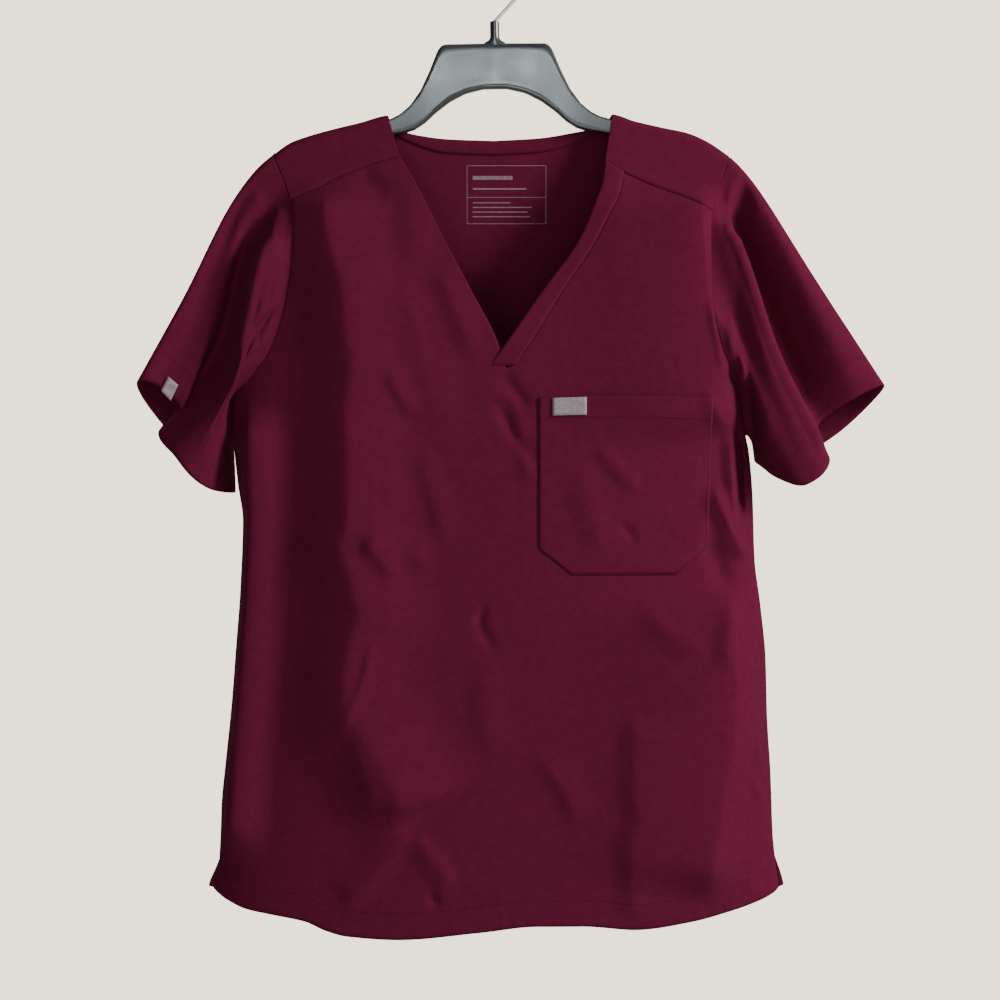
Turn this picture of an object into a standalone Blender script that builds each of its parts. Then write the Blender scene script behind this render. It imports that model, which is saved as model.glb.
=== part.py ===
"""V-neck medical scrub top hanging on a moulded clothes hanger with a wire hook.

Lengths are in millimetres and MM turns them into Blender's metres.
X runs across the garment, +Y towards its back, +Z up.
The origin is the inner top of the hook, where a rail carries everything.
The cloth is one wall of woven fabric, worked out panel by panel.
"""
import math

import bmesh
import bpy
from mathutils import Vector

MM = 0.001

# ---- driving dimensions --------------------------------------------------------------
CLOTH = 1.2             # thickness of every cloth wall
SEAM = 0.3              # gap between neighbouring pieces
RIDGE_RADIUS = 8.4      # bend of the cloth over a hanger arm
SIDE_POWER = 2.5        # how squarely the body section turns at its sides
FLAT_FROM = 60.0        # the hanger's width holds the cloth apart down to this drop
FLAT_TO = 180.0         # and no longer holds it from this drop down
SIDE_GAP = 0.7          # front to back along the side seam, at the middle of the walls
VENT_OPEN = 2.5         # how far the side vents gape at the hem, each way
VENT_LENGTH = 32.0
VENT_SPREAD = 5.0       # how far the back's corner stands out past the front's at the vent
HALF_COLUMNS = 16       # columns from the middle of a body panel to its side
SIDE_PULL = 0.80        # how strongly the columns crowd towards the side
POCKET_LIFT = 1.95      # middle of the pocket's wall above the middle of the front's
POCKET_GAPE = 2.2       # extra lift at the middle of the pocket's mouth
MOUTH_RISE = 1.5        # how far the mouth's edge rises to its middle
BAND_LAP = 2.0          # lift of the neckband where its end laps over the front
FACING_ENDS = 2.0       # width of the back neck facing at its two ends
FACING_WIDTH = 11.0     # and at its middle
FACING_SET = 0.6        # its top edge lies this far below the back's
FACING_DROP = 1.7       # middle of the facing's wall inside the middle of the back's
FACING_CLOTH = 1.0
TAB_LIFT = 1.5          # middle of a label's wall above the middle of the cloth's
HANGER_THICKNESS = 11.0
HANGER_EDGE = 3.6       # rounding of the hanger's edges
HANGER_TILT = math.radians(0.7)
WIRE = 3.2              # diameter of the hook's wire
HOOK_RADIUS = 24.5      # to the middle of the wire
HOOK_INNER = HOOK_RADIUS - WIRE / 2

# Height of the shoulder line: x, z
RIDGE = (
    (-246.0, -214.0), (-220.6, -202.2), (-201.9, -182.2), (-191.4, -174.4),
    (-176.3, -163.9), (-162.3, -158.7), (-139.2, -152.2), (-115.7, -146.5),
    (-92.2, -140.4), (-60.0, -139.4), (60.0, -138.8), (102.6, -139.4),
    (121.4, -145.1), (144.4, -150.5), (167.9, -155.6), (184.4, -162.6),
    (198.3, -171.7), (207.6, -178.7), (219.2, -189.1), (246.0, -205.0),
)

# Depth of the body in front of and behind the hanger: drop below the shoulder, depth
FRONT_DEPTH = ((RIDGE_RADIUS, RIDGE_RADIUS), (35, 13), (80, 24), (160, 36), (260, 44),
               (450, 50), (700, 54))
BACK_DEPTH = ((RIDGE_RADIUS, RIDGE_RADIUS), (35, 11.5), (80, 17), (160, 25), (260, 31),
              (450, 35), (700, 38))

# The body's sides at the hanger's plane: distance below the origin, x of the side
SIDE_RIGHT_OF_WEARER = (
    (178.7, -206.0), (213.5, -210.6), (300.5, -221.0), (389.2, -228.8), (431.0, -225.4),
    (462.3, -221.9), (491.9, -217.8), (551.9, -220.0), (601.5, -223.7), (651.1, -227.5),
    (700.7, -232.6), (738.1, -236.2), (762.5, -237.0), (787.7, -238.4), (812.0, -243.3),
)
SIDE_LEFT_OF_WEARER = (
    (178.7, 219.2), (213.5, 224.4), (300.5, 222.7), (417.7, 218.5), (431.9, 221.0),
    (471.0, 224.3), (525.0, 226.0), (565.0, 231.0), (612.8, 235.6), (660.7, 236.8),
    (711.1, 239.8), (764.2, 241.7), (788.6, 244.2), (812.0, 247.0),
)

# Rows of the front panel. row 0 is the forward shoulder seam, UNDERARM is the underarm
# point and HEM the hem. Each table gives one edge: row, x, z
V_POINT = 3.7
BAND_END = 3.6
UNDERARM = 4.1
HEM = 10.0
FRONT_ROWS = (0, 0.4, 0.8, 1.2, 1.6, 2.0, 2.4, 2.8, 3.2, BAND_END, V_POINT, UNDERARM,
              4.4, 4.8, 5.2, 5.6, 6.0, 6.4, 6.8, 7.2, 7.6, 8.0, 8.4, 8.8, 9.2, 9.6, 9.8, HEM)
NECK_RIGHT_OF_WEARER = (
    (0, -82.0, -176.5), (0.8, -64.0, -208.0), (1.6, -42.5, -251.5), (2.4, -17.6, -299.0),
    (3.2, 1.8, -336.4), (V_POINT, 10.3, -362.4),
)
NECK_LEFT_OF_WEARER = (
    (0, 111.0, -190.6), (0.6, 106.0, -212.7), (1.0, 98.1, -228.6), (1.6, 85.0, -254.5),
    (2.4, 56.5, -297.6), (3.1, 32.3, -337.1), (3.4, 21.9, -352.7), (BAND_END, 17.3, -360.4),
    (V_POINT, 10.3, -362.4),
)
CENTRE_FRONT = ((V_POINT, 10.3, -362.4), (4.5, 5.2, -408.0), (HEM, 5.2, -837.6))
ARMHOLE_RIGHT_OF_WEARER = (
    (0, -175.3, -214.5), (0.7, -173.1, -243.0), (1.4, -174.5, -271.0), (2.0, -178.6, -297.0),
    (2.7, -185.3, -325.0), (3.3, -194.9, -349.0), (3.7, -209.5, -367.0), (UNDERARM, -228.8, -389.2),
)
ARMHOLE_LEFT_OF_WEARER = (
    (0, 187.5, -224.8), (0.7, 186.0, -254.0), (1.4, 186.0, -284.0), (2.0, 187.3, -311.3),
    (2.7, 194.0, -342.8), (3.2, 204.5, -367.0), (3.7, 215.0, -391.0), (UNDERARM, 218.5, -417.7),
)

# The forward shoulder seams: x, z
SHOULDER_SEAM = {
    -1: ((-175.3, -214.5), (-149.4, -203.0), (-138.2, -196.8), (-114.9, -186.8), (-82.0, -176.5)),
    1: ((95.6, -181.4), (111.0, -190.6), (132.2, -200.7), (162.2, -212.7), (187.5, -224.8)),
}

# The band's free edge on the neckline: row, x, z
BAND_EDGE = (
    (0, 95.6, -181.4), (0.6, 93.5, -199.0), (1.0, 87.6, -216.3), (1.6, 72.5, -252.0),
    (2.4, 40.5, -297.0), (3.1, 14.9, -334.0), (3.4, 4.3, -349.3), (BAND_END, -5.0, -360.5),
)

# Rows of the back panel behind the shoulder line: row 0 is the shoulder line itself
BACK_NECK = 3.0
BACK_UNDERARM = 5.5
BACK_HEM = 11.0
BACK_ROWS = (0.15, 0.5, 1.0, 1.6, 2.2, BACK_NECK, 3.5, 4.0, 4.5, 4.9, 5.2, BACK_UNDERARM, 6.0,
             6.5, 7.0, 7.5, 8.0, 8.5, 9.0, 9.5, 10.0, 10.4, 10.75, BACK_HEM)
SHOULDER_STEPS = (1.0, 0.72, 0.45, 0.23, 0.1, 0.03)   # share of the drop to the front seam
NECK_TOP = {-1: -92.2, 1: 102.6}
ARMHOLE_TOP = {-1: -191.4, 1: 204.0}
BACK_NECK_RIGHT = ((0, -92.2, -140.4), (1, -86.5, -150.4), (1.6, -65.0, -156.5),
                   (2.2, -38.0, -159.7), (BACK_NECK, 0, -161.0))
BACK_NECK_LEFT = ((0, 102.6, -139.4), (1, 92.0, -149.0), (1.6, 67.0, -154.5),
                  (2.2, 39.0, -158.8), (BACK_NECK, 0, -161.0))
CENTRE_BACK = ((BACK_NECK, 0, -161.0), (BACK_UNDERARM, 0, -395.0), (BACK_HEM, 3.0, -842.0))
BACK_ARMHOLE_RIGHT = (
    (0, -191.4, -174.4), (1, -184.0, -184.0), (2, -176.5, -210.0), (3, -173.1, -248.0),
    (3.6, -175.5, -280.0), (4.2, -181.5, -315.0), (4.8, -194.9, -350.0), (5.2, -209.5, -367.0),
    (BACK_UNDERARM, -228.8, -389.2),
)
BACK_ARMHOLE_LEFT = (
    (0, 204.0, -176.0), (1, 194.0, -188.0), (2, 188.0, -222.0), (3, 186.0, -262.0),
    (3.6, 186.6, -297.0), (4.2, 191.5, -333.0), (4.8, 204.5, -367.0), (5.2, 215.0, -391.0),
    (BACK_UNDERARM, 218.5, -417.7),
)

# Hem lines: x, z
FRONT_HEM = (
    (-240.5, -811.0), (-228.0, -817.5), (-211.0, -823.6), (-185.0, -827.5), (-160.7, -831.5),
    (-140.9, -839.4), (-123.8, -843.4), (-82.4, -845.6), (-11.6, -839.3), (36.4, -834.2),
    (75.0, -834.2), (120.7, -837.6), (169.2, -831.8), (194.4, -826.2), (215.4, -820.8),
    (239.3, -813.0), (249.0, -808.0),
)
BACK_HEM_LINE = (
    (-246.6, -810.3), (-225.0, -819.0), (-180.0, -831.0), (-110.0, -840.0), (0.0, -842.0),
    (110.0, -840.0), (185.0, -830.0), (230.0, -818.0), (252.0, -809.0),
)

# Folds of the panels: name, height, half width towards -X, half width towards +X,
# share of the length that fades at each end, path of (x, z) points
FRONT_FOLDS = (
    ("long_ridge", 10.0, 52.0, 62.0, 0.12,
     ((-144, -204), (-141, -254), (-130, -297), (-121, -349), (-131, -400), (-121, -491),
      (-121, -597), (-122, -645), (-103, -675), (-87, -701), (-66, -750))),
    ("side_ridge", 4.5, 16.0, 20.0, 0.10,
     ((-203, -400), (-200, -520), (-204, -640), (-212, -760))),
    ("chest_drag", 2.5, 16.0, 24.0, 0.30, ((-121, -330), (-92, -355), (-76, -392))),
    ("belly_trough", -5.0, 22.0, 18.0, 0.30, ((118, -660), (116, -720), (118, -835))),
    ("belly_swell", 4.5, 22.0, 34.0, 0.30, ((136, -650), (134, -720), (140, -835))),
    ("neck_drape", 3.0, 20.0, 26.0, 0.35, ((-45, -300), (-18, -345), (8, -400))),
    ("low_drag", -3.0, 16.0, 22.0, 0.35, ((-115, -838), (-96, -800), (-60, -765))),
    ("underarm_tuck", -9.0, 13.0, 7.0, 0.25, ((212, -395), (211, -440), (213, -500))),
    ("side_drag", 4.0, 14.0, 14.0, 0.35, ((196, -468), (206, -492), (219, -520))),
)
BACK_FOLDS = (
    ("right_blade", 6.0, 44.0, 54.0, 0.18,
     ((-120, -215), (-112, -330), (-104, -480), (-112, -640), (-96, -800))),
    ("left_blade", 6.0, 52.0, 44.0, 0.18,
     ((128, -215), (116, -340), (110, -500), (122, -660), (104, -810))),
    ("centre_trough", -3.5, 34.0, 34.0, 0.30, ((6, -330), (0, -520), (10, -760))),
    ("right_hem_swell", 4.0, 26.0, 26.0, 0.30, ((-176, -560), (-182, -690), (-186, -825))),
    ("left_hem_swell", 4.0, 26.0, 26.0, 0.30, ((184, -560), (190, -700), (194, -825))),
)

# Sleeves: place round the armhole (0 top, 1 underarm, 2 top again over the back), then
# the points at UPPER and LOWER of the sleeve's length and the point on the cuff
UPPER = 0.3
LOWER = 0.65
SLEEVE_RIGHT_GUIDES = (
    # name,         round, upper x, y, z,          lower x, y, z,          cuff x, y, z
    ("outer_fold",  0.00, (-232.4, 1.0, -228.0), (-270.0, 1.0, -299.5), (-308.7, 1.0, -370.1)),
    ("upper_face",  0.06, (-231.4, -6.0, -236.0), (-261.0, -8.0, -311.0), (-291.5, -9.0, -375.0)),
    ("valley",      0.12, (-228.0, -7.5, -244.0), (-252.0, -6.5, -322.0), (-273.0, -8.0, -397.0)),
    ("dark_wall",   0.22, (-214.0, -17.0, -250.0), (-249.0, -20.0, -342.0), (-290.5, -21.0, -416.0)),
    ("ridge",       0.38, (-199.0, -29.0, -268.0), (-232.0, -34.0, -361.0), (-272.0, -36.0, -437.0)),
    ("belly",       0.62, (-203.0, -31.0, -335.0), (-230.0, -37.0, -392.0), (-256.8, -36.0, -455.6)),
    ("lower_face",  0.84, (-222.0, -25.0, -383.0), (-231.0, -26.0, -422.0), (-241.0, -24.0, -466.2)),
    ("underseam",   1.00, (-230.5, 7.0, -413.0), (-227.5, 12.0, -441.0), (-226.5, 11.0, -468.0)),
    ("back_low",    1.26, (-224.0, 24.0, -374.0), (-233.0, 27.0, -416.0), (-246.0, 24.0, -459.0)),
    ("back_middle", 1.60, (-216.0, 25.0, -297.0), (-250.0, 27.0, -360.0), (-285.0, 24.0, -417.0)),
    ("back_high",   1.85, (-227.6, 15.0, -242.0), (-268.0, 16.0, -313.0), (-308.0, 13.0, -385.0)),
)
SLEEVE_LEFT_GUIDES = (
    ("outer_fold",  0.00, (246.6, 2.0, -233.0), (293.0, 0.0, -304.0), (338.5, -3.0, -374.4)),
    ("outer_face",  0.06, (240.0, -5.0, -239.0), (278.0, -5.0, -315.0), (312.0, -6.0, -386.0)),
    ("valley",      0.13, (228.0, -12.0, -246.0), (262.0, -11.0, -326.0), (286.5, -9.0, -406.0)),
    ("ridge",       0.25, (214.0, -32.0, -258.0), (246.0, -38.0, -350.0), (286.0, -36.0, -441.0)),
    ("belly",       0.48, (206.0, -34.0, -322.0), (236.0, -42.0, -392.0), (267.0, -42.0, -461.0)),
    ("lower_face",  0.75, (217.0, -31.0, -378.0), (231.0, -32.0, -423.0), (250.0, -30.0, -459.0)),
    ("underseam",   1.00, (222.5, 7.0, -437.0), (229.0, 10.0, -442.0), (238.0, 10.0, -446.5)),
    ("back_low",    1.26, (224.0, 23.0, -394.0), (244.0, 26.0, -422.0), (266.0, 25.0, -438.0)),
    ("back_middle", 1.60, (231.0, 27.0, -303.0), (270.0, 28.0, -360.0), (302.0, 26.0, -417.0)),
    ("back_high",   1.85, (242.0, 16.0, -248.0), (286.0, 17.0, -320.0), (329.0, 13.0, -391.0)),
)
SLEEVE_RINGS = 12
UNDERARM_STAND = 5.0    # how far the sleeve's underside stands off the body as it falls
UNDERARM_CENTRE = 150.0 # distance from the middle that this stand-off points away from
UNDERARM_LAP = 1.7      # there the sleeve's edge stands this far outside the body's
STAND_PEAK = 0.2        # share of the sleeve's length where the underside stands off most
CAP_STAND = {-1: 4.2, 1: 3.4}   # how far the sleeve's crown stands above a straight fall
CAP_PEAK = 0.13
CAP_DIRECTION = Vector((0.78, 0.0, 0.62))
RING_CROWDING = 1.15    # above 1 the rings lie closer together near the armhole

# The patch pocket on the wearer's left: share of the height from the mouth, left x, right x
POCKET_TOP = -388.0
POCKET_HEIGHT = 150.0
POCKET_SIDES = ((0.0, 37.4, 185.5), (0.2, 37.4, 185.2), (0.45, 37.4, 184.4), (0.65, 37.4, 183.4),
                (0.835, 37.4, 181.7), (0.92, 51.5, 168.5), (1.0, 66.0, 154.9))
POCKET_COLUMNS = 12
POCKET_TAB = {"x": 49.7, "z": -388.6, "width": 29.0, "height": 15.0}
# The cuff's label lies on one face of the sleeve's wall: column of the ring, shares of the
# face across and down, and the thickness of its cloth
SLEEVE_TAB = {"column": 3, "left": 0.42, "right": 0.99, "top": 0.34, "bottom": 0.98, "cloth": 0.8}

# The hanger's outline on one side, in its own upright frame: u out from the stem, z
HANGER_TOP = ((8.7, -77.4), (45.0, -77.6), (48.4, -80.4), (51.2, -86.0), (57.2, -101.0),
              (65.0, -117.6), (74.0, -130.4), (82.5, -137.8), (91.0, -142.2), (103.0, -145.6),
              (120.0, -148.6), (142.0, -153.8), (165.0, -160.2), (180.0, -166.8),
              (188.0, -172.2), (193.0, -177.2))
HANGER_BOTTOM = ((194.0, -181.2), (191.4, -184.4), (187.0, -184.0), (177.0, -178.2),
                 (163.0, -171.6), (142.0, -165.6), (120.0, -161.4), (103.0, -158.4),
                 (91.0, -156.2), (80.0, -154.4), (70.0, -151.8), (61.0, -146.0),
                 (52.0, -137.6), (39.5, -128.2), (26.0, -121.2), (10.0, -117.4))
STEM_TOP = -58.9
STEM_BOTTOM = -84.0
STEM_RADIUS = 4.1
BORE_DEPTH = 17.0
HOOK_LEAN = 46.0        # degrees that the wire leans out of the stem
HOOK_BEND = 3.5         # radius of the bend where it leans out
HOOK_LEG = (15.7, -41.7)        # where the leaning leg meets the crown: u, z
HOOK_END = 205.0        # degrees round the crown where the wire stops

MATERIALS = {
    # name: base colour, roughness, metallic
    "cloth": ((0.072, 0.006, 0.018, 1.0), 0.85, 0.0),
    "label": ((0.23, 0.19, 0.20, 1.0), 0.7, 0.0),
    "plastic": ((0.022, 0.024, 0.027, 1.0), 0.32, 0.0),
    "steel": ((0.68, 0.68, 0.70, 1.0), 0.22, 1.0),
}


# ---- curves and tables ---------------------------------------------------------------
def clamp(value, low, high):
    return max(low, min(high, value))


def mix(first, second, share):
    return first + (second - first) * share


def smoothstep(low, high, value):
    share = clamp((value - low) / (high - low), 0.0, 1.0)
    return share * share * (3.0 - 2.0 * share)


def slopes_of(keys, values):
    """Slopes that keep a cubic curve between its table's values."""
    steps = [(values[i + 1] - values[i]) / (keys[i + 1] - keys[i]) for i in range(len(keys) - 1)]
    slopes = [steps[0]]
    for before, after in zip(steps, steps[1:]):
        same_way = before * after > 0
        slopes.append(2 * before * after / (before + after) if same_way else 0.0)
    slopes.append(steps[-1])
    return slopes


class Track:
    """A smooth curve through a table. Its first column is the position along it."""

    def __init__(self, rows):
        self.keys = [row[0] for row in rows]
        self.columns = [[row[c] for row in rows] for c in range(1, len(rows[0]))]
        self.slopes = [slopes_of(self.keys, column) for column in self.columns]

    def at(self, key):
        key = clamp(key, self.keys[0], self.keys[-1])
        i = 0
        while i < len(self.keys) - 2 and key > self.keys[i + 1]:
            i += 1
        span = self.keys[i + 1] - self.keys[i]
        t = (key - self.keys[i]) / span
        found = []
        for column, slope in zip(self.columns, self.slopes):
            rise = column[i + 1] - column[i]
            start = slope[i] * span
            end = slope[i + 1] * span
            found.append(column[i] + t * (start + t * (3 * rise - 2 * start - end
                                                       + t * (start + end - 2 * rise))))
        return found


def edge_track(*tables):
    """One edge of a panel from tables that follow on; each keeps its own smoothness."""
    tracks = [Track(table) for table in tables]

    def at(row):
        for track in tracks[:-1]:
            if row <= track.keys[-1]:
                return track.at(row)
        return tracks[-1].at(row)
    return at


# ---- the body's form -----------------------------------------------------------------
ridge_track = Track(RIDGE)
side_tracks = {-1: Track(SIDE_RIGHT_OF_WEARER), 1: Track(SIDE_LEFT_OF_WEARER)}
depth_tracks = {-1: Track(FRONT_DEPTH), 1: Track(BACK_DEPTH)}
folds_of = {-1: FRONT_FOLDS, 1: BACK_FOLDS}


def ridge(x):
    return ridge_track.at(x)[0]


def side_x(z, hand):
    """x of the side at height z; hand is -1 at the wearer's right and 1 at the left."""
    return side_tracks[hand].at(-z)[0]


def bell(distance, half_width):
    if abs(distance) >= half_width:
        return 0.0
    return 0.5 + 0.5 * math.cos(math.pi * distance / half_width)


def nearest_on_path(x, z, path):
    """Signed distance from a path, plus to its +X side, and the share of its length."""
    lengths = [math.dist(a, b) for a, b in zip(path, path[1:])]
    best = None
    gone = 0.0
    for a, b, length in zip(path, path[1:], lengths):
        t = clamp(((x - a[0]) * (b[0] - a[0]) + (z - a[1]) * (b[1] - a[1])) / length ** 2, 0, 1)
        foot = (mix(a[0], b[0], t), mix(a[1], b[1], t))
        away = math.dist((x, z), foot)
        if best is None or away < best[0]:
            cross = (b[0] - a[0]) * (z - a[1]) - (b[1] - a[1]) * (x - a[0])
            downward = b[1] < a[1]
            right = (cross > 0) if downward else (cross < 0)
            best = (away, right, gone + t * length)
        gone += length
    away, right, along = best
    return (away if right else -away), along / gone


def fold_height(x, z, face):
    total = 0.0
    for _, height, minus_width, plus_width, fade, path in folds_of[face]:
        reach = max(minus_width, plus_width)
        if not min(p[0] for p in path) - reach < x < max(p[0] for p in path) + reach:
            continue
        away, share = nearest_on_path(x, z, path)
        ends = smoothstep(0, fade, share) * smoothstep(0, fade, 1 - share)
        total += height * ends * bell(away, plus_width if away > 0 else minus_width)
    return total


def body_depth(x, z, face):
    """Distance of the cloth from the hanger's plane; face is -1 in front, 1 behind."""
    drop = max(ridge(x) - z, 0.0)
    round_over = math.sqrt(max(RIDGE_RADIUS ** 2 - (RIDGE_RADIUS - drop) ** 2, 0.0))
    full = round_over if drop < RIDGE_RADIUS else depth_tracks[face].at(drop)[0]
    held = min(full, RIDGE_RADIUS) * (1 - smoothstep(FLAT_FROM, FLAT_TO, drop))
    share = clamp(x / side_x(z, 1 if x > 0 else -1), 0.0, 1.0)
    turn = (1 - share ** SIDE_POWER) ** (1 / SIDE_POWER)
    folds = fold_height(x, z, face) * (1 - smoothstep(0.94, 1.0, share))
    return held + (full - held) * turn + folds * smoothstep(0, 60, drop)


def body_point(x, z, face, lift=0.0):
    """A point on a body panel, or that far outside it along the panel's normal."""
    if lift == 0.0:
        return Vector((x, face * body_depth(x, z, face), z))
    step = 1.0
    across = body_depth(x + step, z, face) - body_depth(x - step, z, face)
    down = body_depth(x, z + step, face) - body_depth(x, z - step, face)
    normal = Vector((-across / (2 * step), face, -down / (2 * step))).normalized()
    return Vector((x, face * body_depth(x, z, face), z)) + normal * lift


def panel_xz(inner, outer, share):
    """A place on a panel between its two edges, on a row that follows the shoulder."""
    x = mix(inner[0], outer[0], share)
    drop = mix(ridge(inner[0]) - inner[1], ridge(outer[0]) - outer[1], share)
    return x, ridge(x) - drop


def line_shift(inner, outer, share, line):
    """How far a curved edge lies above the even row between the same two ends."""
    x, z = panel_xz(inner, outer, share)
    return line.at(x)[0] - z


def column_shares(sidewards):
    """Column places from the middle to the side, closer together where the body turns."""
    sidewards *= SIDE_PULL
    shares = []
    for column in range(HALF_COLUMNS + 1):
        even = column / HALF_COLUMNS
        shares.append(mix(even, math.sin(even * math.pi / 2), sidewards))
    return shares


# ---- making objects ------------------------------------------------------------------
def clear_scene():
    for item in list(bpy.data.objects):
        bpy.data.objects.remove(item, do_unlink=True)


def new_collection(name):
    group = bpy.data.collections.new(name)
    bpy.context.scene.collection.children.link(group)
    return group


def make_material(piece, finish):
    colour, roughness, metallic = MATERIALS[finish]
    material = bpy.data.materials.new(piece.name + "_" + finish)
    material.use_nodes = True
    shader = material.node_tree.nodes["Principled BSDF"]
    shader.inputs["Base Color"].default_value = colour
    shader.inputs["Roughness"].default_value = roughness
    shader.inputs["Metallic"].default_value = metallic
    material.diffuse_color = colour
    piece.data.materials.append(material)


def add_piece(name, data, group, finish):
    piece = bpy.data.objects.new(name, data)
    group.objects.link(piece)
    make_material(piece, finish)
    return piece


def cloth_piece(name, grids, group, finish="cloth", closed=False, thickness=CLOTH):
    """A cloth wall through grids of points, each a list of rows."""
    shape = bmesh.new()
    for grid in grids:
        rows = [[shape.verts.new(point * MM) for point in row] for row in grid]
        for upper, lower in zip(rows, rows[1:]):
            steps = len(upper) if closed else len(upper) - 1
            for i in range(steps):
                j = (i + 1) % len(upper)
                shape.faces.new((upper[i], upper[j], lower[j], lower[i]))
    bmesh.ops.remove_doubles(shape, verts=shape.verts, dist=0.01 * MM)
    bmesh.ops.recalc_face_normals(shape, faces=shape.faces)
    data = bpy.data.meshes.new(name)
    shape.to_mesh(data)
    shape.free()
    piece = add_piece(name, data, group, finish)
    wall = piece.modifiers.new("cloth_wall", "SOLIDIFY")
    wall.thickness = thickness * MM
    wall.offset = 0.0
    wall.use_even_offset = True
    return piece


# ---- front panel, neckband and pocket ------------------------------------------------
front_hem = Track(FRONT_HEM)
back_hem = Track(BACK_HEM_LINE)
front_inner = {-1: edge_track(NECK_RIGHT_OF_WEARER, CENTRE_FRONT),
               1: edge_track(NECK_LEFT_OF_WEARER, CENTRE_FRONT)}
front_armhole = {-1: Track(ARMHOLE_RIGHT_OF_WEARER), 1: Track(ARMHOLE_LEFT_OF_WEARER)}
shoulder_seams = {hand: Track(seam) for hand, seam in SHOULDER_SEAM.items()}
back_inner = {-1: edge_track(BACK_NECK_RIGHT, CENTRE_BACK),
              1: edge_track(BACK_NECK_LEFT, CENTRE_BACK)}
back_armhole = {-1: Track(BACK_ARMHOLE_RIGHT), 1: Track(BACK_ARMHOLE_LEFT)}


def outer_edge(row, hand, armhole, underarm, hem_row, hem_line):
    """The armhole edge, then the side seam down to the hem."""
    if row <= underarm:
        return armhole[hand].at(row)
    top = armhole[hand].at(underarm)[1]
    hem_x = side_x(-side_tracks[hand].keys[-1], hand)
    z = mix(top, hem_line.at(hem_x)[0], (row - underarm) / (hem_row - underarm))
    return [side_x(z, hand), z]


def vent_gap(z, hem_z):
    """Half the distance between front and back along the side, open at the vent."""
    return SIDE_GAP / 2 + VENT_OPEN * smoothstep(VENT_LENGTH, 0.0, z - hem_z)


def trimmed(edge, towards, amount):
    """An edge point moved a little towards another point of its row."""
    away = Vector((towards[0] - edge[0], towards[1] - edge[1]))
    moved = Vector(edge) + away.normalized() * amount
    return [moved.x, moved.y]


def front_outer(row, hand):
    return outer_edge(row, hand, front_armhole, UNDERARM, HEM, front_hem)


def front_half(hand):
    seam_ends = front_inner[hand](0), front_outer(0, hand)
    hem_ends = front_inner[hand](HEM), front_outer(HEM, hand)
    grid = []
    for row in FRONT_ROWS:
        inner = front_inner[hand](row)
        outer = front_outer(row, hand)
        if hand == 1 and row < V_POINT:
            inner = trimmed(inner, outer, SEAM)
        sidewards = smoothstep(2.0, 5.0, row)
        hem_share = smoothstep(6.5, HEM, row)
        seam_share = smoothstep(2.0, 0.0, row)
        points = []
        for share in column_shares(sidewards):
            x, z = panel_xz(inner, outer, share)
            z += line_shift(*seam_ends, share, shoulder_seams[hand]) * seam_share
            z += line_shift(*hem_ends, share, front_hem) * hem_share
            points.append(body_point(x, z, -1))
        if row >= UNDERARM:
            edge = points[-1]
            edge.y = -vent_gap(edge.z, front_hem.at(edge.x)[0])
        grid.append(points)
    return grid


def make_front(group):
    return cloth_piece("front_panel", [front_half(-1), front_half(1)], group)


def make_neckband(group):
    band_edge = Track(BAND_EDGE)
    grid = []
    for row in FRONT_ROWS:
        if row > BAND_END:
            break
        free = band_edge.at(row)
        sewn = front_inner[1](row)
        lift = BAND_LAP * smoothstep(2.4, 3.2, row)
        points = []
        for share in (0.0, 0.5, 1.0):
            x = mix(free[0], sewn[0], share)
            z = mix(free[1], sewn[1], share)
            points.append(body_point(x, z, -1, lift))
        grid.append(points)
    return cloth_piece("neckband", [grid], group)


def pocket_point(x, share, lift):
    _, left, right = POCKET_SIDES[0]
    middle = math.sin(math.pi * clamp((x - left) / (right - left), 0, 1))
    z = POCKET_TOP + MOUTH_RISE * middle * (1 - share) - POCKET_HEIGHT * share
    return body_point(x, z, -1, lift + POCKET_GAPE * middle * (1 - share) ** 6)


def make_pocket(group):
    sides = Track(POCKET_SIDES)
    grid = []
    for share in (0, 0.06, 0.13, 0.25, 0.38, 0.5, 0.62, 0.74, 0.835, 0.92, 1.0):
        left, right = sides.at(share)
        grid.append([pocket_point(mix(left, right, column / POCKET_COLUMNS), share, POCKET_LIFT)
                     for column in range(POCKET_COLUMNS + 1)])
    return cloth_piece("chest_pocket", [grid], group)


def make_pocket_tab(group):
    grid = []
    for row in range(3):
        share = (POCKET_TOP - POCKET_TAB["z"] + POCKET_TAB["height"] * row / 2) / POCKET_HEIGHT
        grid.append([pocket_point(POCKET_TAB["x"] + POCKET_TAB["width"] * column / 3, share,
                                  POCKET_LIFT + TAB_LIFT) for column in range(4)])
    return cloth_piece("pocket_label_tab", [grid], group, "label")


# ---- back panel with the shoulders ---------------------------------------------------
def shoulder_row(hand, part):
    """A row between the shoulder line (part 0) and the forward seam (part 1)."""
    neck_x = {-1: NECK_RIGHT_OF_WEARER[0][1], 1: BAND_EDGE[0][1]}[hand]
    arm_x = front_armhole[hand].at(0)[0]
    points = []
    for share in column_shares(0.0):
        seam_x = mix(neck_x, arm_x, share)
        seam_drop = ridge(seam_x) - shoulder_seams[hand].at(seam_x)[0] - SEAM
        x = mix(mix(NECK_TOP[hand], ARMHOLE_TOP[hand], share), seam_x, part)
        points.append(body_point(x, ridge(x) - seam_drop * part, -1))
    return points


def back_outer(row, hand):
    x, z = outer_edge(row, hand, back_armhole, BACK_UNDERARM, BACK_HEM, back_hem)
    spread = VENT_SPREAD * smoothstep(VENT_LENGTH, 0.0, z - back_hem.at(x)[0])
    return x + hand * spread, z


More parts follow.
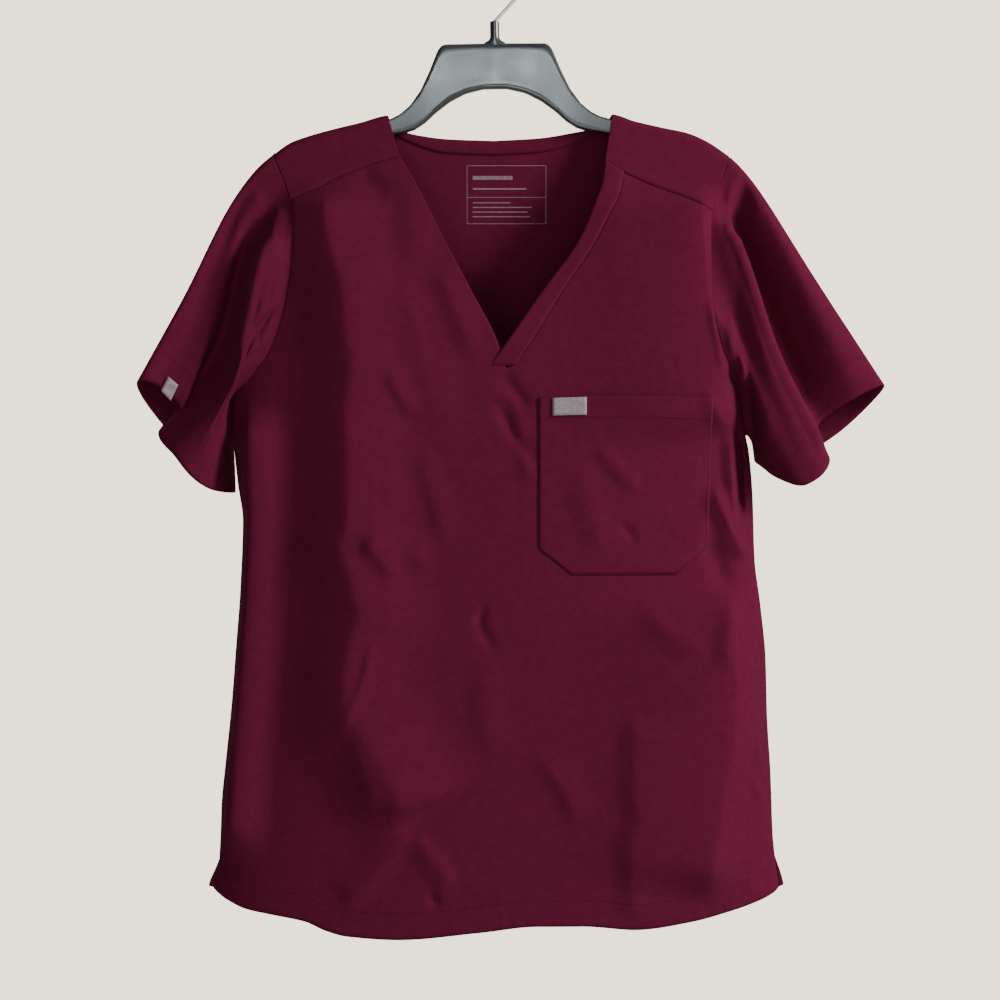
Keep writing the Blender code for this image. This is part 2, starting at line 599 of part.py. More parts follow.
def back_row(hand, row):
    inner = back_inner[hand](row)
    outer = back_outer(row, hand)
    hem_ends = back_inner[hand](BACK_HEM), back_outer(BACK_HEM, hand)
    sidewards = smoothstep(3.4, 6.4, row)
    hem_share = smoothstep(7.5, BACK_HEM, row)
    points = []
    for share in column_shares(sidewards):
        x, z = panel_xz(inner, outer, share)
        z += line_shift(*hem_ends, share, back_hem) * hem_share
        points.append(body_point(x, z, 1))
    if row >= BACK_UNDERARM:
        edge = points[-1]
        edge.y = vent_gap(edge.z, back_hem.at(edge.x)[0])
    return points


def back_half(hand):
    shoulder = [shoulder_row(hand, part) for part in SHOULDER_STEPS]
    crest = [body_point(mix(NECK_TOP[hand], ARMHOLE_TOP[hand], share), 0.0, -1)
             for share in column_shares(0.0)]
    for point in crest:
        point.y = 0.0
        point.z = ridge(point.x)
    return shoulder + [crest] + [back_row(hand, row) for row in BACK_ROWS]


def make_back(group):
    return cloth_piece("back_panel", [back_half(-1), back_half(1)], group)


def make_back_neck_facing(group):
    """The strip that finishes the back neck, inside the back panel."""
    rows = (1.0, 1.3, 1.6, 1.9, 2.2, 2.6, BACK_NECK)
    grid = []
    for hand, order in ((-1, rows), (1, rows[-2::-1])):
        for row in order:
            x, z = back_inner[hand](row)
            width = mix(FACING_ENDS, FACING_WIDTH, smoothstep(0.7, 2.2, row))
            grid.append([body_point(x, z - FACING_SET - width * share, 1, -FACING_DROP)
                         for share in (0.0, 0.5, 1.0)])
    return cloth_piece("back_neck_facing", [grid], group, thickness=FACING_CLOTH)


# ---- sleeves -------------------------------------------------------------------------
def armhole_ring(front_grid, back_grid):
    """The body's edge round an armhole, down the front and up the back.

    Each item is a point and the direction in which the panel runs out of its edge there.
    """
    shoulder_count = len(SHOULDER_STEPS)
    underarm_front = FRONT_ROWS.index(UNDERARM)
    underarm_back = shoulder_count + 1 + BACK_ROWS.index(BACK_UNDERARM)
    rows = [back_grid[shoulder_count]]
    rows += back_grid[shoulder_count - 1:0:-1]
    rows += front_grid[:underarm_front]
    ring = [(row[-1], (row[-1] - row[-2]).normalized()) for row in rows]
    underarm = (front_grid[underarm_front][-1] + back_grid[underarm_back][-1]) / 2
    outward = Vector((math.copysign(1.0, underarm.x), 0.0, 0.0))
    underarm_index = len(ring)
    ring.append((underarm, outward))
    for row in back_grid[underarm_back - 1:shoulder_count:-1]:
        ring.append((row[-1], (row[-1] - row[-2]).normalized()))
    return ring, underarm_index


def square_to(direction, line):
    """The part of a direction that is square to a line."""
    line = line.normalized()
    return (direction - line * direction.dot(line)).normalized()


def ring_places(ring, underarm_index):
    """Place of each armhole point: 0 at the top, 1 at the underarm, 2 at the top again."""
    count = len(ring)
    steps = [(ring[(i + 1) % count] - ring[i]).length for i in range(count)]
    front_length = sum(steps[:underarm_index])
    back_length = sum(steps[underarm_index:])
    places = [0.0]
    for i in range(1, count):
        side_length = front_length if i <= underarm_index else back_length
        places.append(places[-1] + steps[i - 1] / side_length)
    return places


def round_curve(keys, points, place):
    """A closed smooth curve through points whose places round the ring are keys."""
    count = len(keys)
    i = max(k for k in range(count) if keys[k] <= place)
    start = keys[i]
    end = keys[(i + 1) % count] + (2.0 if i == count - 1 else 0.0)
    t = (place - start) / (end - start)
    before, a, b, after = (points[(i + k) % count] for k in (-1, 0, 1, 2))
    key_before = keys[(i - 1) % count] - (2.0 if i == 0 else 0.0)
    key_after = keys[(i + 2) % count] + (2.0 if i + 2 >= count else 0.0)
    slope_a = (b - before) / (end - key_before) * (end - start)
    slope_b = (after - a) / (key_after - start) * (end - start)
    return (a * (2 * t ** 3 - 3 * t ** 2 + 1) + slope_a * (t ** 3 - 2 * t ** 2 + t)
            + b * (3 * t ** 2 - 2 * t ** 3) + slope_b * (t ** 3 - t ** 2))


def seam_distance(turn):
    """How far a sleeve starts outside a panel's edge where it turns by that angle."""
    return SEAM + CLOTH / 2 * math.sin(min(turn, math.pi / 2))


def bump(share, peak):
    """Rises from 0 to 1 at the peak and dies away to 0 at share 1."""
    power = 1 / peak - 1
    return share * (1 - share) ** power / (peak * (1 - peak) ** power)


class Sleeve:
    """One sleeve as rings from the armhole to the cuff."""

    def __init__(self, hand, front_grid, back_grid, guides):
        self.hand = hand
        ring, underarm_index = armhole_ring(front_grid, back_grid)
        self.ring = [point for point, _ in ring]
        self.outward = [direction for _, direction in ring]
        self.places = ring_places(self.ring, underarm_index)
        self.keys = [guide[1] for guide in guides]
        self.starts = [self.on_armhole(key) for key in self.keys]
        self.tracks = []
        for start, (_, _, upper, lower, cuff) in zip(self.starts, guides):
            self.tracks.append(Track([(0.0, *start), (UPPER, *upper), (LOWER, *lower),
                                      (1.0, *cuff)]))

    def on_armhole(self, place):
        i = max(k for k in range(len(self.places)) if self.places[k] <= place)
        following = (i + 1) % len(self.places)
        end = self.places[following] if following else 2.0
        return self.ring[i].lerp(self.ring[following], (place - self.places[i])
                                 / (end - self.places[i]))

    def at(self, place, share):
        guides = [Vector(track.at(share)) for track in self.tracks]
        point = round_curve(self.keys, guides, place)
        slip = self.on_armhole(place) - round_curve(self.keys, self.starts, place)
        return point + slip * (1 - share) ** 3

    def rings(self):
        """Rings of points; the first stands back from the armhole by the seam's gap."""
        shares = [(i / (SLEEVE_RINGS - 1)) ** RING_CROWDING for i in range(SLEEVE_RINGS)]
        grid = [[self.at(place, share) for place in self.places] for share in shares]
        count = len(self.ring)
        for i, place in enumerate(self.places):
            line = self.ring[(i + 1) % count] - self.ring[i - 1]
            outward = square_to(self.outward[i], line)
            under = smoothstep(0.6, 0.2, abs(place - 1.0))
            off_body = Vector((self.ring[i].x - self.hand * UNDERARM_CENTRE, self.ring[i].y, 0.0))
            off_body.normalize()
            crown = CAP_STAND[self.hand] * smoothstep(0.85, 1.0, abs(place - 1.0))
            up = Vector((self.hand * CAP_DIRECTION.x, 0.0, CAP_DIRECTION.z))
            for share, points in zip(shares, grid):
                lap = UNDERARM_LAP * (1 - share) ** 3
                stand = UNDERARM_STAND * bump(share, STAND_PEAK)
                points[i] += off_body * under * (stand + lap)
                points[i] += up * crown * bump(share, CAP_PEAK)
            turn = outward.angle(square_to(grid[1][i] - self.ring[i], line))
            distance = mix(seam_distance(turn), SEAM, under)
            grid[0][i] = self.ring[i] + outward * distance + off_body * under * UNDERARM_LAP
        return grid


def make_sleeves(group):
    sleeves = {}
    for name, hand, guides in (("sleeve_wearer_right", -1, SLEEVE_RIGHT_GUIDES),
                               ("sleeve_wearer_left", 1, SLEEVE_LEFT_GUIDES)):
        sleeves[hand] = Sleeve(hand, front_half(hand), back_half(hand), guides)
        cloth_piece(name, [sleeves[hand].rings()], group, closed=True)
    return sleeves


def make_sleeve_tab(group, sleeve):
    """A small label on the front of the wearer's right cuff, on one face of its wall."""
    rings = sleeve.rings()
    column = SLEEVE_TAB["column"]
    above = rings[-2][column:column + 2]
    below = rings[-1][column:column + 2]
    normal = (below[1] - above[0]).cross(below[0] - above[1]).normalized()
    normal *= math.copysign(TAB_LIFT, -normal.y)
    grid = []
    for down in (SLEEVE_TAB["top"], SLEEVE_TAB["bottom"]):
        edge = [above[i].lerp(below[i], down) for i in (0, 1)]
        grid.append([edge[0].lerp(edge[1], across) + normal
                     for across in (SLEEVE_TAB["left"], SLEEVE_TAB["right"])])
    return cloth_piece("sleeve_label_tab", [grid], group, "label", thickness=SLEEVE_TAB["cloth"])


# ---- hanger --------------------------------------------------------------------------
def tilted(u, z):
    """A point of the upright hanger, turned with the hanger about its hook."""
    middle = -HOOK_INNER
    return (u * math.cos(HANGER_TILT) - (z - middle) * math.sin(HANGER_TILT),
            middle + u * math.sin(HANGER_TILT) + (z - middle) * math.cos(HANGER_TILT))


def hanger_outline():
    half = list(HANGER_TOP) + list(HANGER_BOTTOM)
    mirrored = [(-u, z) for u, z in reversed(half)]
    return [tilted(u, z) for u, z in half + mirrored]


def stem_cylinder(name, radius, top, bottom, group):
    bpy.ops.mesh.primitive_cylinder_add(vertices=20, radius=radius * MM, depth=(top - bottom) * MM)
    cylinder = bpy.context.object
    cylinder.name = name
    x, z = tilted(0.0, (top + bottom) / 2)
    cylinder.location = Vector((x, 0.0, z)) * MM
    cylinder.rotation_euler = (0.0, -HANGER_TILT, 0.0)
    for holder in list(cylinder.users_collection):
        holder.objects.unlink(cylinder)
    group.objects.link(cylinder)
    return cylinder


def make_hanger(group, cutters):
    curve = bpy.data.curves.new("hanger_outline", "CURVE")
    curve.dimensions = "2D"
    curve.fill_mode = "BOTH"
    curve.extrude = (HANGER_THICKNESS / 2 - HANGER_EDGE) * MM
    curve.bevel_depth = HANGER_EDGE * MM
    curve.bevel_resolution = 1
    curve.offset = -HANGER_EDGE * MM
    outline = hanger_outline()
    line = curve.splines.new("POLY")
    line.points.add(len(outline) - 1)
    for point, (x, z) in zip(line.points, outline):
        point.co = (x * MM, z * MM, 0.0, 1.0)
    line.use_cyclic_u = True
    flat = bpy.data.objects.new("hanger_outline", curve)
    flat.rotation_euler = (math.pi / 2, 0.0, 0.0)
    cutters.objects.link(flat)
    bpy.context.view_layer.update()
    data = bpy.data.meshes.new_from_object(flat.evaluated_get(bpy.context.evaluated_depsgraph_get()))
    bpy.data.objects.remove(flat, do_unlink=True)
    shape = bmesh.new()
    shape.from_mesh(data)
    bmesh.ops.remove_doubles(shape, verts=shape.verts, dist=0.01 * MM)
    bmesh.ops.recalc_face_normals(shape, faces=shape.faces)
    shape.to_mesh(data)
    shape.free()
    data.name = "hanger_body"
    hanger = add_piece("hanger_body", data, group, "plastic")
    hanger.rotation_euler = (math.pi / 2, 0.0, 0.0)
    stem = stem_cylinder("stem", STEM_RADIUS, STEM_TOP, STEM_BOTTOM, cutters)
    bore = stem_cylinder("bore", WIRE / 2 + SEAM, STEM_TOP + 2.0, STEM_TOP - BORE_DEPTH, cutters)
    for operation, tool in (("UNION", stem), ("DIFFERENCE", bore)):
        step = hanger.modifiers.new(tool.name, "BOOLEAN")
        step.operation = operation
        step.solver = "EXACT"
        step.object = tool
        tool.hide_render = True
        tool.display_type = "WIRE"
    return hanger


def make_hook(group):
    """The wire: up out of the bore, leaning out, then round over the rail."""
    lean = math.radians(HOOK_LEAN)
    centre = (0.0, -HOOK_INNER)
    points = [(0.0, STEM_TOP - BORE_DEPTH + 1.0), (0.0, STEM_TOP - 1.0)]
    for step in range(1, 4):
        turn = lean * step / 3
        points.append((HOOK_BEND * (1 - math.cos(turn)),
                       STEM_TOP - 1.0 + HOOK_BEND * math.sin(turn)))
    start = math.atan2(HOOK_LEG[1] - centre[1], HOOK_LEG[0])
    for step in range(19):
        angle = mix(start, math.radians(HOOK_END), step / 18)
        points.append((centre[0] + HOOK_RADIUS * math.cos(angle),
                       centre[1] + HOOK_RADIUS * math.sin(angle)))
    curve = bpy.data.curves.new("hanger_hook", "CURVE")
    curve.dimensions = "3D"
    curve.bevel_depth = WIRE / 2 * MM
    curve.bevel_resolution = 2
    curve.use_fill_caps = True
    line = curve.splines.new("POLY")
    line.points.add(len(points) - 1)
    for point, place in zip(line.points, points):
        x, z = tilted(*place)
        point.co = (x * MM, 0.0, z * MM, 1.0)
    return add_piece("hanger_hook", curve, group, "steel")


def main():
    clear_scene()
    group = new_collection("medical_scrub_top_on_hanger")
    cutters = new_collection("cutters")
    make_front(group)
    make_neckband(group)
    make_back(group)
    make_back_neck_facing(group)
    sleeves = make_sleeves(group)
    make_pocket(group)
    make_pocket_tab(group)
    make_sleeve_tab(group, sleeves[-1])
    make_hanger(group, cutters)
    make_hook(group)


main()
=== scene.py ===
"""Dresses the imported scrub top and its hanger.

Lengths are in millimetres until MM turns them into metres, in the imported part's own frame:
the origin is under the hook's crown, X across, +Y towards the garment's back, +Z up.
Hand is -1 on the wearer's right and 1 on the wearer's left. Face is -1 for the front and 1
for the back.
"""
import math

import bmesh
import bpy
import numpy as np
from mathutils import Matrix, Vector


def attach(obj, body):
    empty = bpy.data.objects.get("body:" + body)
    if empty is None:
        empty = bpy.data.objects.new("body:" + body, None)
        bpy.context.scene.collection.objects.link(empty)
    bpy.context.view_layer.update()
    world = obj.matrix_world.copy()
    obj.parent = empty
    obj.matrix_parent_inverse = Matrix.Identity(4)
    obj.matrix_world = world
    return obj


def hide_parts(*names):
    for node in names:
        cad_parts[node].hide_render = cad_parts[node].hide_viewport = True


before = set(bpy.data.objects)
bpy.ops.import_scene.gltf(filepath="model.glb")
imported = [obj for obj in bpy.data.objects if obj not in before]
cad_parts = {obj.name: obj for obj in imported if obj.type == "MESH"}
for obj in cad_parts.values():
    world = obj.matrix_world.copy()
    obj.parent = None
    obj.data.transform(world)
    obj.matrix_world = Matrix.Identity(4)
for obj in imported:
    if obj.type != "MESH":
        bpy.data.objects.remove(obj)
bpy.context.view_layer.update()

MM = 0.001

# ---- the top's own sizes, as its solids have them ------------------------------------
RIDGE_RADIUS = 8.4      # bend of the cloth over a hanger arm
SIDE_POWER = 2.5        # how squarely the body section turns at its sides
FLAT_FROM = 60.0        # the hanger's width holds the cloth apart down to this drop
FLAT_TO = 180.0         # and no longer holds it from this drop down
SIDE_GAP = 0.7          # front to back along the side seam, at the middle of the walls
VENT_OPEN = 2.5         # how far the side vents gape at the hem, each way
VENT_LENGTH = 32.0
VENT_SPREAD = 5.0       # how far the back's corner stands out past the front's at the vent
SIDE_PULL = 0.80        # how strongly the columns crowd towards the side
POCKET_LIFT = 1.95      # middle of the pocket's wall above the middle of the front's
POCKET_GAPE = 2.2       # extra lift at the middle of the pocket's mouth
MOUTH_RISE = 1.5        # how far the mouth's edge rises to its middle
BAND_LAP = 2.0          # lift of the neckband where its end laps over the front
FACING_ENDS = 2.0       # width of the back neck facing at its two ends
FACING_WIDTH = 11.0     # and at its middle
FACING_DROP = 1.7       # middle of the facing's wall inside the middle of the back's
HANGER_THICKNESS = 11.0
HANGER_TILT = math.radians(0.7)
WIRE = 3.2              # diameter of the hook's wire
HOOK_RADIUS = 24.5      # to the middle of the wire
HOOK_INNER = HOOK_RADIUS - WIRE / 2

# Height of the shoulder line: x, z
RIDGE = (
    (-246.0, -214.0), (-220.6, -202.2), (-201.9, -182.2), (-191.4, -174.4),
    (-176.3, -163.9), (-162.3, -158.7), (-139.2, -152.2), (-115.7, -146.5),
    (-92.2, -140.4), (-60.0, -139.4), (60.0, -138.8), (102.6, -139.4),
    (121.4, -145.1), (144.4, -150.5), (167.9, -155.6), (184.4, -162.6),
    (198.3, -171.7), (207.6, -178.7), (219.2, -189.1), (246.0, -205.0),
)

# Depth of the body in front of and behind the hanger: drop below the shoulder, depth
FRONT_DEPTH = ((RIDGE_RADIUS, RIDGE_RADIUS), (35, 13), (80, 24), (160, 36), (260, 44),
               (450, 50), (700, 54))
BACK_DEPTH = ((RIDGE_RADIUS, RIDGE_RADIUS), (35, 11.5), (80, 17), (160, 25), (260, 31),
              (450, 35), (700, 38))

# The body's sides at the hanger's plane: distance below the origin, x of the side
SIDE_RIGHT_OF_WEARER = (
    (178.7, -206.0), (213.5, -210.6), (300.5, -221.0), (389.2, -228.8), (431.0, -225.4),
    (462.3, -221.9), (491.9, -217.8), (551.9, -220.0), (601.5, -223.7), (651.1, -227.5),
    (700.7, -232.6), (738.1, -236.2), (762.5, -237.0), (787.7, -238.4), (812.0, -243.3),
)
SIDE_LEFT_OF_WEARER = (
    (178.7, 219.2), (213.5, 224.4), (300.5, 222.7), (417.7, 218.5), (431.9, 221.0),
    (471.0, 224.3), (525.0, 226.0), (565.0, 231.0), (612.8, 235.6), (660.7, 236.8),
    (711.1, 239.8), (764.2, 241.7), (788.6, 244.2), (812.0, 247.0),
)

# Rows of the front panel: row 0 is the forward shoulder seam, UNDERARM is the underarm
# point and HEM the hem. Each table gives one edge: row, x, z
V_POINT = 3.7
BAND_END = 3.6
UNDERARM = 4.1
HEM = 10.0
FRONT_ROWS = (0, 0.4, 0.8, 1.2, 1.6, 2.0, 2.4, 2.8, 3.2, BAND_END, V_POINT, UNDERARM,
              4.4, 4.8, 5.2, 5.6, 6.0, 6.4, 6.8, 7.2, 7.6, 8.0, 8.4, 8.8, 9.2, 9.6, 9.8, HEM)
NECK_RIGHT_OF_WEARER = (
    (0, -82.0, -176.5), (0.8, -64.0, -208.0), (1.6, -42.5, -251.5), (2.4, -17.6, -299.0),
    (3.2, 1.8, -336.4), (V_POINT, 10.3, -362.4),
)
NECK_LEFT_OF_WEARER = (
    (0, 111.0, -190.6), (0.6, 106.0, -212.7), (1.0, 98.1, -228.6), (1.6, 85.0, -254.5),
    (2.4, 56.5, -297.6), (3.1, 32.3, -337.1), (3.4, 21.9, -352.7), (BAND_END, 17.3, -360.4),
    (V_POINT, 10.3, -362.4),
)
CENTRE_FRONT = ((V_POINT, 10.3, -362.4), (4.5, 5.2, -408.0), (HEM, 5.2, -837.6))
ARMHOLE_RIGHT_OF_WEARER = (
    (0, -175.3, -214.5), (0.7, -173.1, -243.0), (1.4, -174.5, -271.0), (2.0, -178.6, -297.0),
    (2.7, -185.3, -325.0), (3.3, -194.9, -349.0), (3.7, -209.5, -367.0), (UNDERARM, -228.8, -389.2),
)
ARMHOLE_LEFT_OF_WEARER = (
    (0, 187.5, -224.8), (0.7, 186.0, -254.0), (1.4, 186.0, -284.0), (2.0, 187.3, -311.3),
    (2.7, 194.0, -342.8), (3.2, 204.5, -367.0), (3.7, 215.0, -391.0), (UNDERARM, 218.5, -417.7),
)

# The forward shoulder seams: x, z
SHOULDER_SEAM = {
    -1: ((-175.3, -214.5), (-149.4, -203.0), (-138.2, -196.8), (-114.9, -186.8), (-82.0, -176.5)),
    1: ((95.6, -181.4), (111.0, -190.6), (132.2, -200.7), (162.2, -212.7), (187.5, -224.8)),
}

# The band's free edge on the neckline: row, x, z
BAND_EDGE = (
    (0, 95.6, -181.4), (0.6, 93.5, -199.0), (1.0, 87.6, -216.3), (1.6, 72.5, -252.0),
    (2.4, 40.5, -297.0), (3.1, 14.9, -334.0), (3.4, 4.3, -349.3), (BAND_END, -5.0, -360.5),
)

# Rows of the back panel behind the shoulder line: row 0 is the shoulder line itself
BACK_NECK = 3.0
BACK_UNDERARM = 5.5
BACK_HEM = 11.0
BACK_ROWS = (0.15, 0.5, 1.0, 1.6, 2.2, BACK_NECK, 3.5, 4.0, 4.5, 4.9, 5.2, BACK_UNDERARM, 6.0,
             6.5, 7.0, 7.5, 8.0, 8.5, 9.0, 9.5, 10.0, 10.4, 10.75, BACK_HEM)
SHOULDER_STEPS = (1.0, 0.72, 0.45, 0.23, 0.1, 0.03)   # share of the drop to the front seam
NECK_TOP = {-1: -92.2, 1: 102.6}
ARMHOLE_TOP = {-1: -191.4, 1: 204.0}
BACK_NECK_RIGHT = ((0, -92.2, -140.4), (1, -86.5, -150.4), (1.6, -65.0, -156.5),
                   (2.2, -38.0, -159.7), (BACK_NECK, 0, -161.0))
BACK_NECK_LEFT = ((0, 102.6, -139.4), (1, 92.0, -149.0), (1.6, 67.0, -154.5),
                  (2.2, 39.0, -158.8), (BACK_NECK, 0, -161.0))
CENTRE_BACK = ((BACK_NECK, 0, -161.0), (BACK_UNDERARM, 0, -395.0), (BACK_HEM, 3.0, -842.0))
BACK_ARMHOLE_RIGHT = (
    (0, -191.4, -174.4), (1, -184.0, -184.0), (2, -176.5, -210.0), (3, -173.1, -248.0),
    (3.6, -175.5, -280.0), (4.2, -181.5, -315.0), (4.8, -194.9, -350.0), (5.2, -209.5, -367.0),
    (BACK_UNDERARM, -228.8, -389.2),
)
BACK_ARMHOLE_LEFT = (
    (0, 204.0, -176.0), (1, 194.0, -188.0), (2, 188.0, -222.0), (3, 186.0, -262.0),
    (3.6, 186.6, -297.0), (4.2, 191.5, -333.0), (4.8, 204.5, -367.0), (5.2, 215.0, -391.0),
    (BACK_UNDERARM, 218.5, -417.7),
)

# Hem lines: x, z
FRONT_HEM = (
    (-240.5, -811.0), (-228.0, -817.5), (-211.0, -823.6), (-185.0, -827.5), (-160.7, -831.5),
    (-140.9, -839.4), (-123.8, -843.4), (-82.4, -845.6), (-11.6, -839.3), (36.4, -834.2),
    (75.0, -834.2), (120.7, -837.6), (169.2, -831.8), (194.4, -826.2), (215.4, -820.8),
    (239.3, -813.0), (249.0, -808.0),
)
BACK_HEM_LINE = (
    (-246.6, -810.3), (-225.0, -819.0), (-180.0, -831.0), (-110.0, -840.0), (0.0, -842.0),
    (110.0, -840.0), (185.0, -830.0), (230.0, -818.0), (252.0, -809.0),
)

# Sleeves: place round the armhole (0 top, 1 underarm, 2 top again over the back), then
# the points at UPPER and LOWER of the sleeve's length and the point on the cuff
UPPER = 0.3
LOWER = 0.65
SLEEVE_RIGHT_GUIDES = (
    # name,         round, upper x, y, z,          lower x, y, z,          cuff x, y, z
    ("outer_fold",  0.00, (-230.5, -13.0, -230.0), (-266.0, -26.0, -302.0), (-303.5, -30.0, -372.0)),
    ("upper_face",  0.06, (-225.5, -14.0, -236.0), (-254.0, -22.0, -313.0), (-286.0, -25.0, -378.0)),
    ("valley",      0.12, (-219.5, -14.0, -243.0), (-243.5, -18.0, -323.0), (-269.0, -20.0, -396.5)),
    ("dark_wall",   0.22, (-211.0, -7.0, -250.0), (-237.0, -5.0, -339.0), (-289.0, -17.0, -416.0)),
    ("ridge",       0.38, (-194.0, -34.0, -264.0), (-219.0, -38.0, -366.0), (-272.0, -36.0, -437.0)),
    ("belly",       0.62, (-203.0, -31.0, -335.0), (-230.0, -37.0, -392.0), (-256.8, -36.0, -455.6)),
    ("lower_face",  0.84, (-222.0, -25.0, -383.0), (-231.0, -26.0, -422.0), (-241.0, -24.0, -466.2)),
    ("underseam",   1.00, (-230.5, 7.0, -413.0), (-227.5, 12.0, -441.0), (-226.5, 11.0, -468.0)),
    ("back_low",    1.26, (-224.0, 24.0, -374.0), (-233.0, 27.0, -416.0), (-246.0, 24.0, -459.0)),
    ("back_middle", 1.60, (-216.0, 25.0, -297.0), (-250.0, 27.0, -360.0), (-285.0, 24.0, -417.0)),
    ("back_high",   1.85, (-227.6, 15.0, -242.0), (-268.0, 16.0, -313.0), (-308.0, 13.0, -385.0)),
)
SLEEVE_LEFT_GUIDES = (
    ("outer_fold",  0.00, (246.3, 0.0, -233.0), (292.0, -7.0, -304.7), (337.0, -11.0, -374.9)),
    ("outer_face",  0.05, (240.0, -11.0, -239.0), (279.0, -15.0, -314.0), (314.0, -16.0, -385.0)),
    ("valley",      0.13, (214.0, 1.0, -250.0), (249.0, 4.0, -336.0), (281.5, -4.0, -409.0)),
    ("ridge",       0.25, (206.0, -34.0, -257.0), (239.0, -39.0, -350.0), (286.0, -36.0, -441.0)),
    ("belly",       0.48, (206.0, -34.0, -322.0), (236.0, -42.0, -392.0), (267.0, -42.0, -461.0)),
    ("lower_face",  0.75, (217.0, -31.0, -378.0), (231.0, -32.0, -423.0), (250.0, -30.0, -459.0)),
    ("underseam",   1.00, (222.5, 7.0, -437.0), (229.0, 10.0, -442.0), (238.0, 10.0, -446.5)),
    ("back_low",    1.26, (224.0, 23.0, -394.0), (244.0, 26.0, -422.0), (266.0, 25.0, -438.0)),
    ("back_middle", 1.60, (231.0, 27.0, -303.0), (270.0, 28.0, -360.0), (302.0, 26.0, -417.0)),
    ("back_high",   1.85, (242.0, 16.0, -248.0), (286.0, 17.0, -320.0), (329.0, 13.0, -391.0)),
)
UNDERARM_STAND = 5.0    # how far the sleeve's underside stands off the body as it falls
UNDERARM_CENTRE = 150.0 # distance from the middle that this stand-off points away from
UNDERARM_LAP = 1.7      # there the sleeve's edge stands this far outside the body's
STAND_PEAK = 0.2        # share of the sleeve's length where the underside stands off most
CAP_STAND = {-1: 4.2, 1: 3.4}   # how far the sleeve's crown stands above a straight fall
CAP_PEAK = 0.13
CAP_DIRECTION = Vector((0.78, 0.0, 0.62))
RING_CROWDING = 1.15    # above 1 the rings lie closer together near the armhole

# The patch pocket on the wearer's left: share of the height from the mouth, left x, right x
POCKET_TOP = -388.0
POCKET_HEIGHT = 150.0
POCKET_SIDES = ((0.0, 37.4, 185.5), (0.2, 37.4, 185.2), (0.45, 37.4, 184.4), (0.65, 37.4, 183.4),
                (0.835, 37.4, 181.7), (0.92, 51.5, 168.5), (1.0, 66.0, 154.9))
POCKET_TAB = {"x": 49.7, "z": -388.6, "width": 29.0, "height": 15.0}

# The hanger's outline on one side, in its own upright frame: u out from the stem, z
HANGER_TOP = ((8.7, -77.4), (45.0, -77.6), (48.4, -80.4), (51.2, -86.0), (57.2, -101.0),
              (65.0, -117.6), (74.0, -130.4), (82.5, -137.8), (91.0, -142.2), (103.0, -145.6),
              (120.0, -148.6), (142.0, -153.8), (165.0, -160.2), (180.0, -166.8),
              (188.0, -172.2), (193.0, -177.2))
HANGER_BOTTOM = ((194.0, -181.2), (191.4, -184.4), (187.0, -184.0), (177.0, -178.2),
                 (163.0, -171.6), (142.0, -165.6), (120.0, -161.4), (103.0, -158.4),
                 (91.0, -156.2), (80.0, -154.4), (70.0, -151.8), (61.0, -146.0),
                 (52.0, -137.6), (39.5, -128.2), (26.0, -121.2), (10.0, -117.4))
STEM_TOP = -58.9
STEM_RADIUS = 4.1
HOOK_LEAN = 46.0        # degrees that the wire leans out of the stem
HOOK_BEND = 3.5         # radius of the bend where it leans out
HOOK_LEG = (15.7, -41.7)        # where the leaning leg meets the crown: u, z
HOOK_END = 205.0        # degrees round the crown where the wire stops

# ---- the visible cloth ---------------------------------------------------------------
SHELL = 0.9             # thickness of the visible cloth
MERGE = 0.05            # points closer than this are one
CLOSE_COLUMNS = 110     # columns of cloth in half a body panel
ARMHOLE_FINENESS = 5    # rows of cloth to ROW_SPAN rows of the table, above the underarm
SIDE_FINENESS = 8       # and below it
ROW_SPAN = 0.4
SHOULDER_FINENESS = 4
CUFF_RINGS = 64         # rings of cloth in a sleeve
TUCK = 1.5              # how far a sleeve's edge runs in under the body's
TUCK_DROP = 0.8
FOOT = 0.3              # share of a crease's side in which it runs out to nothing
SEAM_SINK = 0.7         # how far a seam's edges sink
SEAM_WIDTH = 3.0
CREASES_END = 0.955     # share of the way to the side where creases start to run out
CORNER_CUT = 0.2        # share of a crease path's step that its corners are rounded by

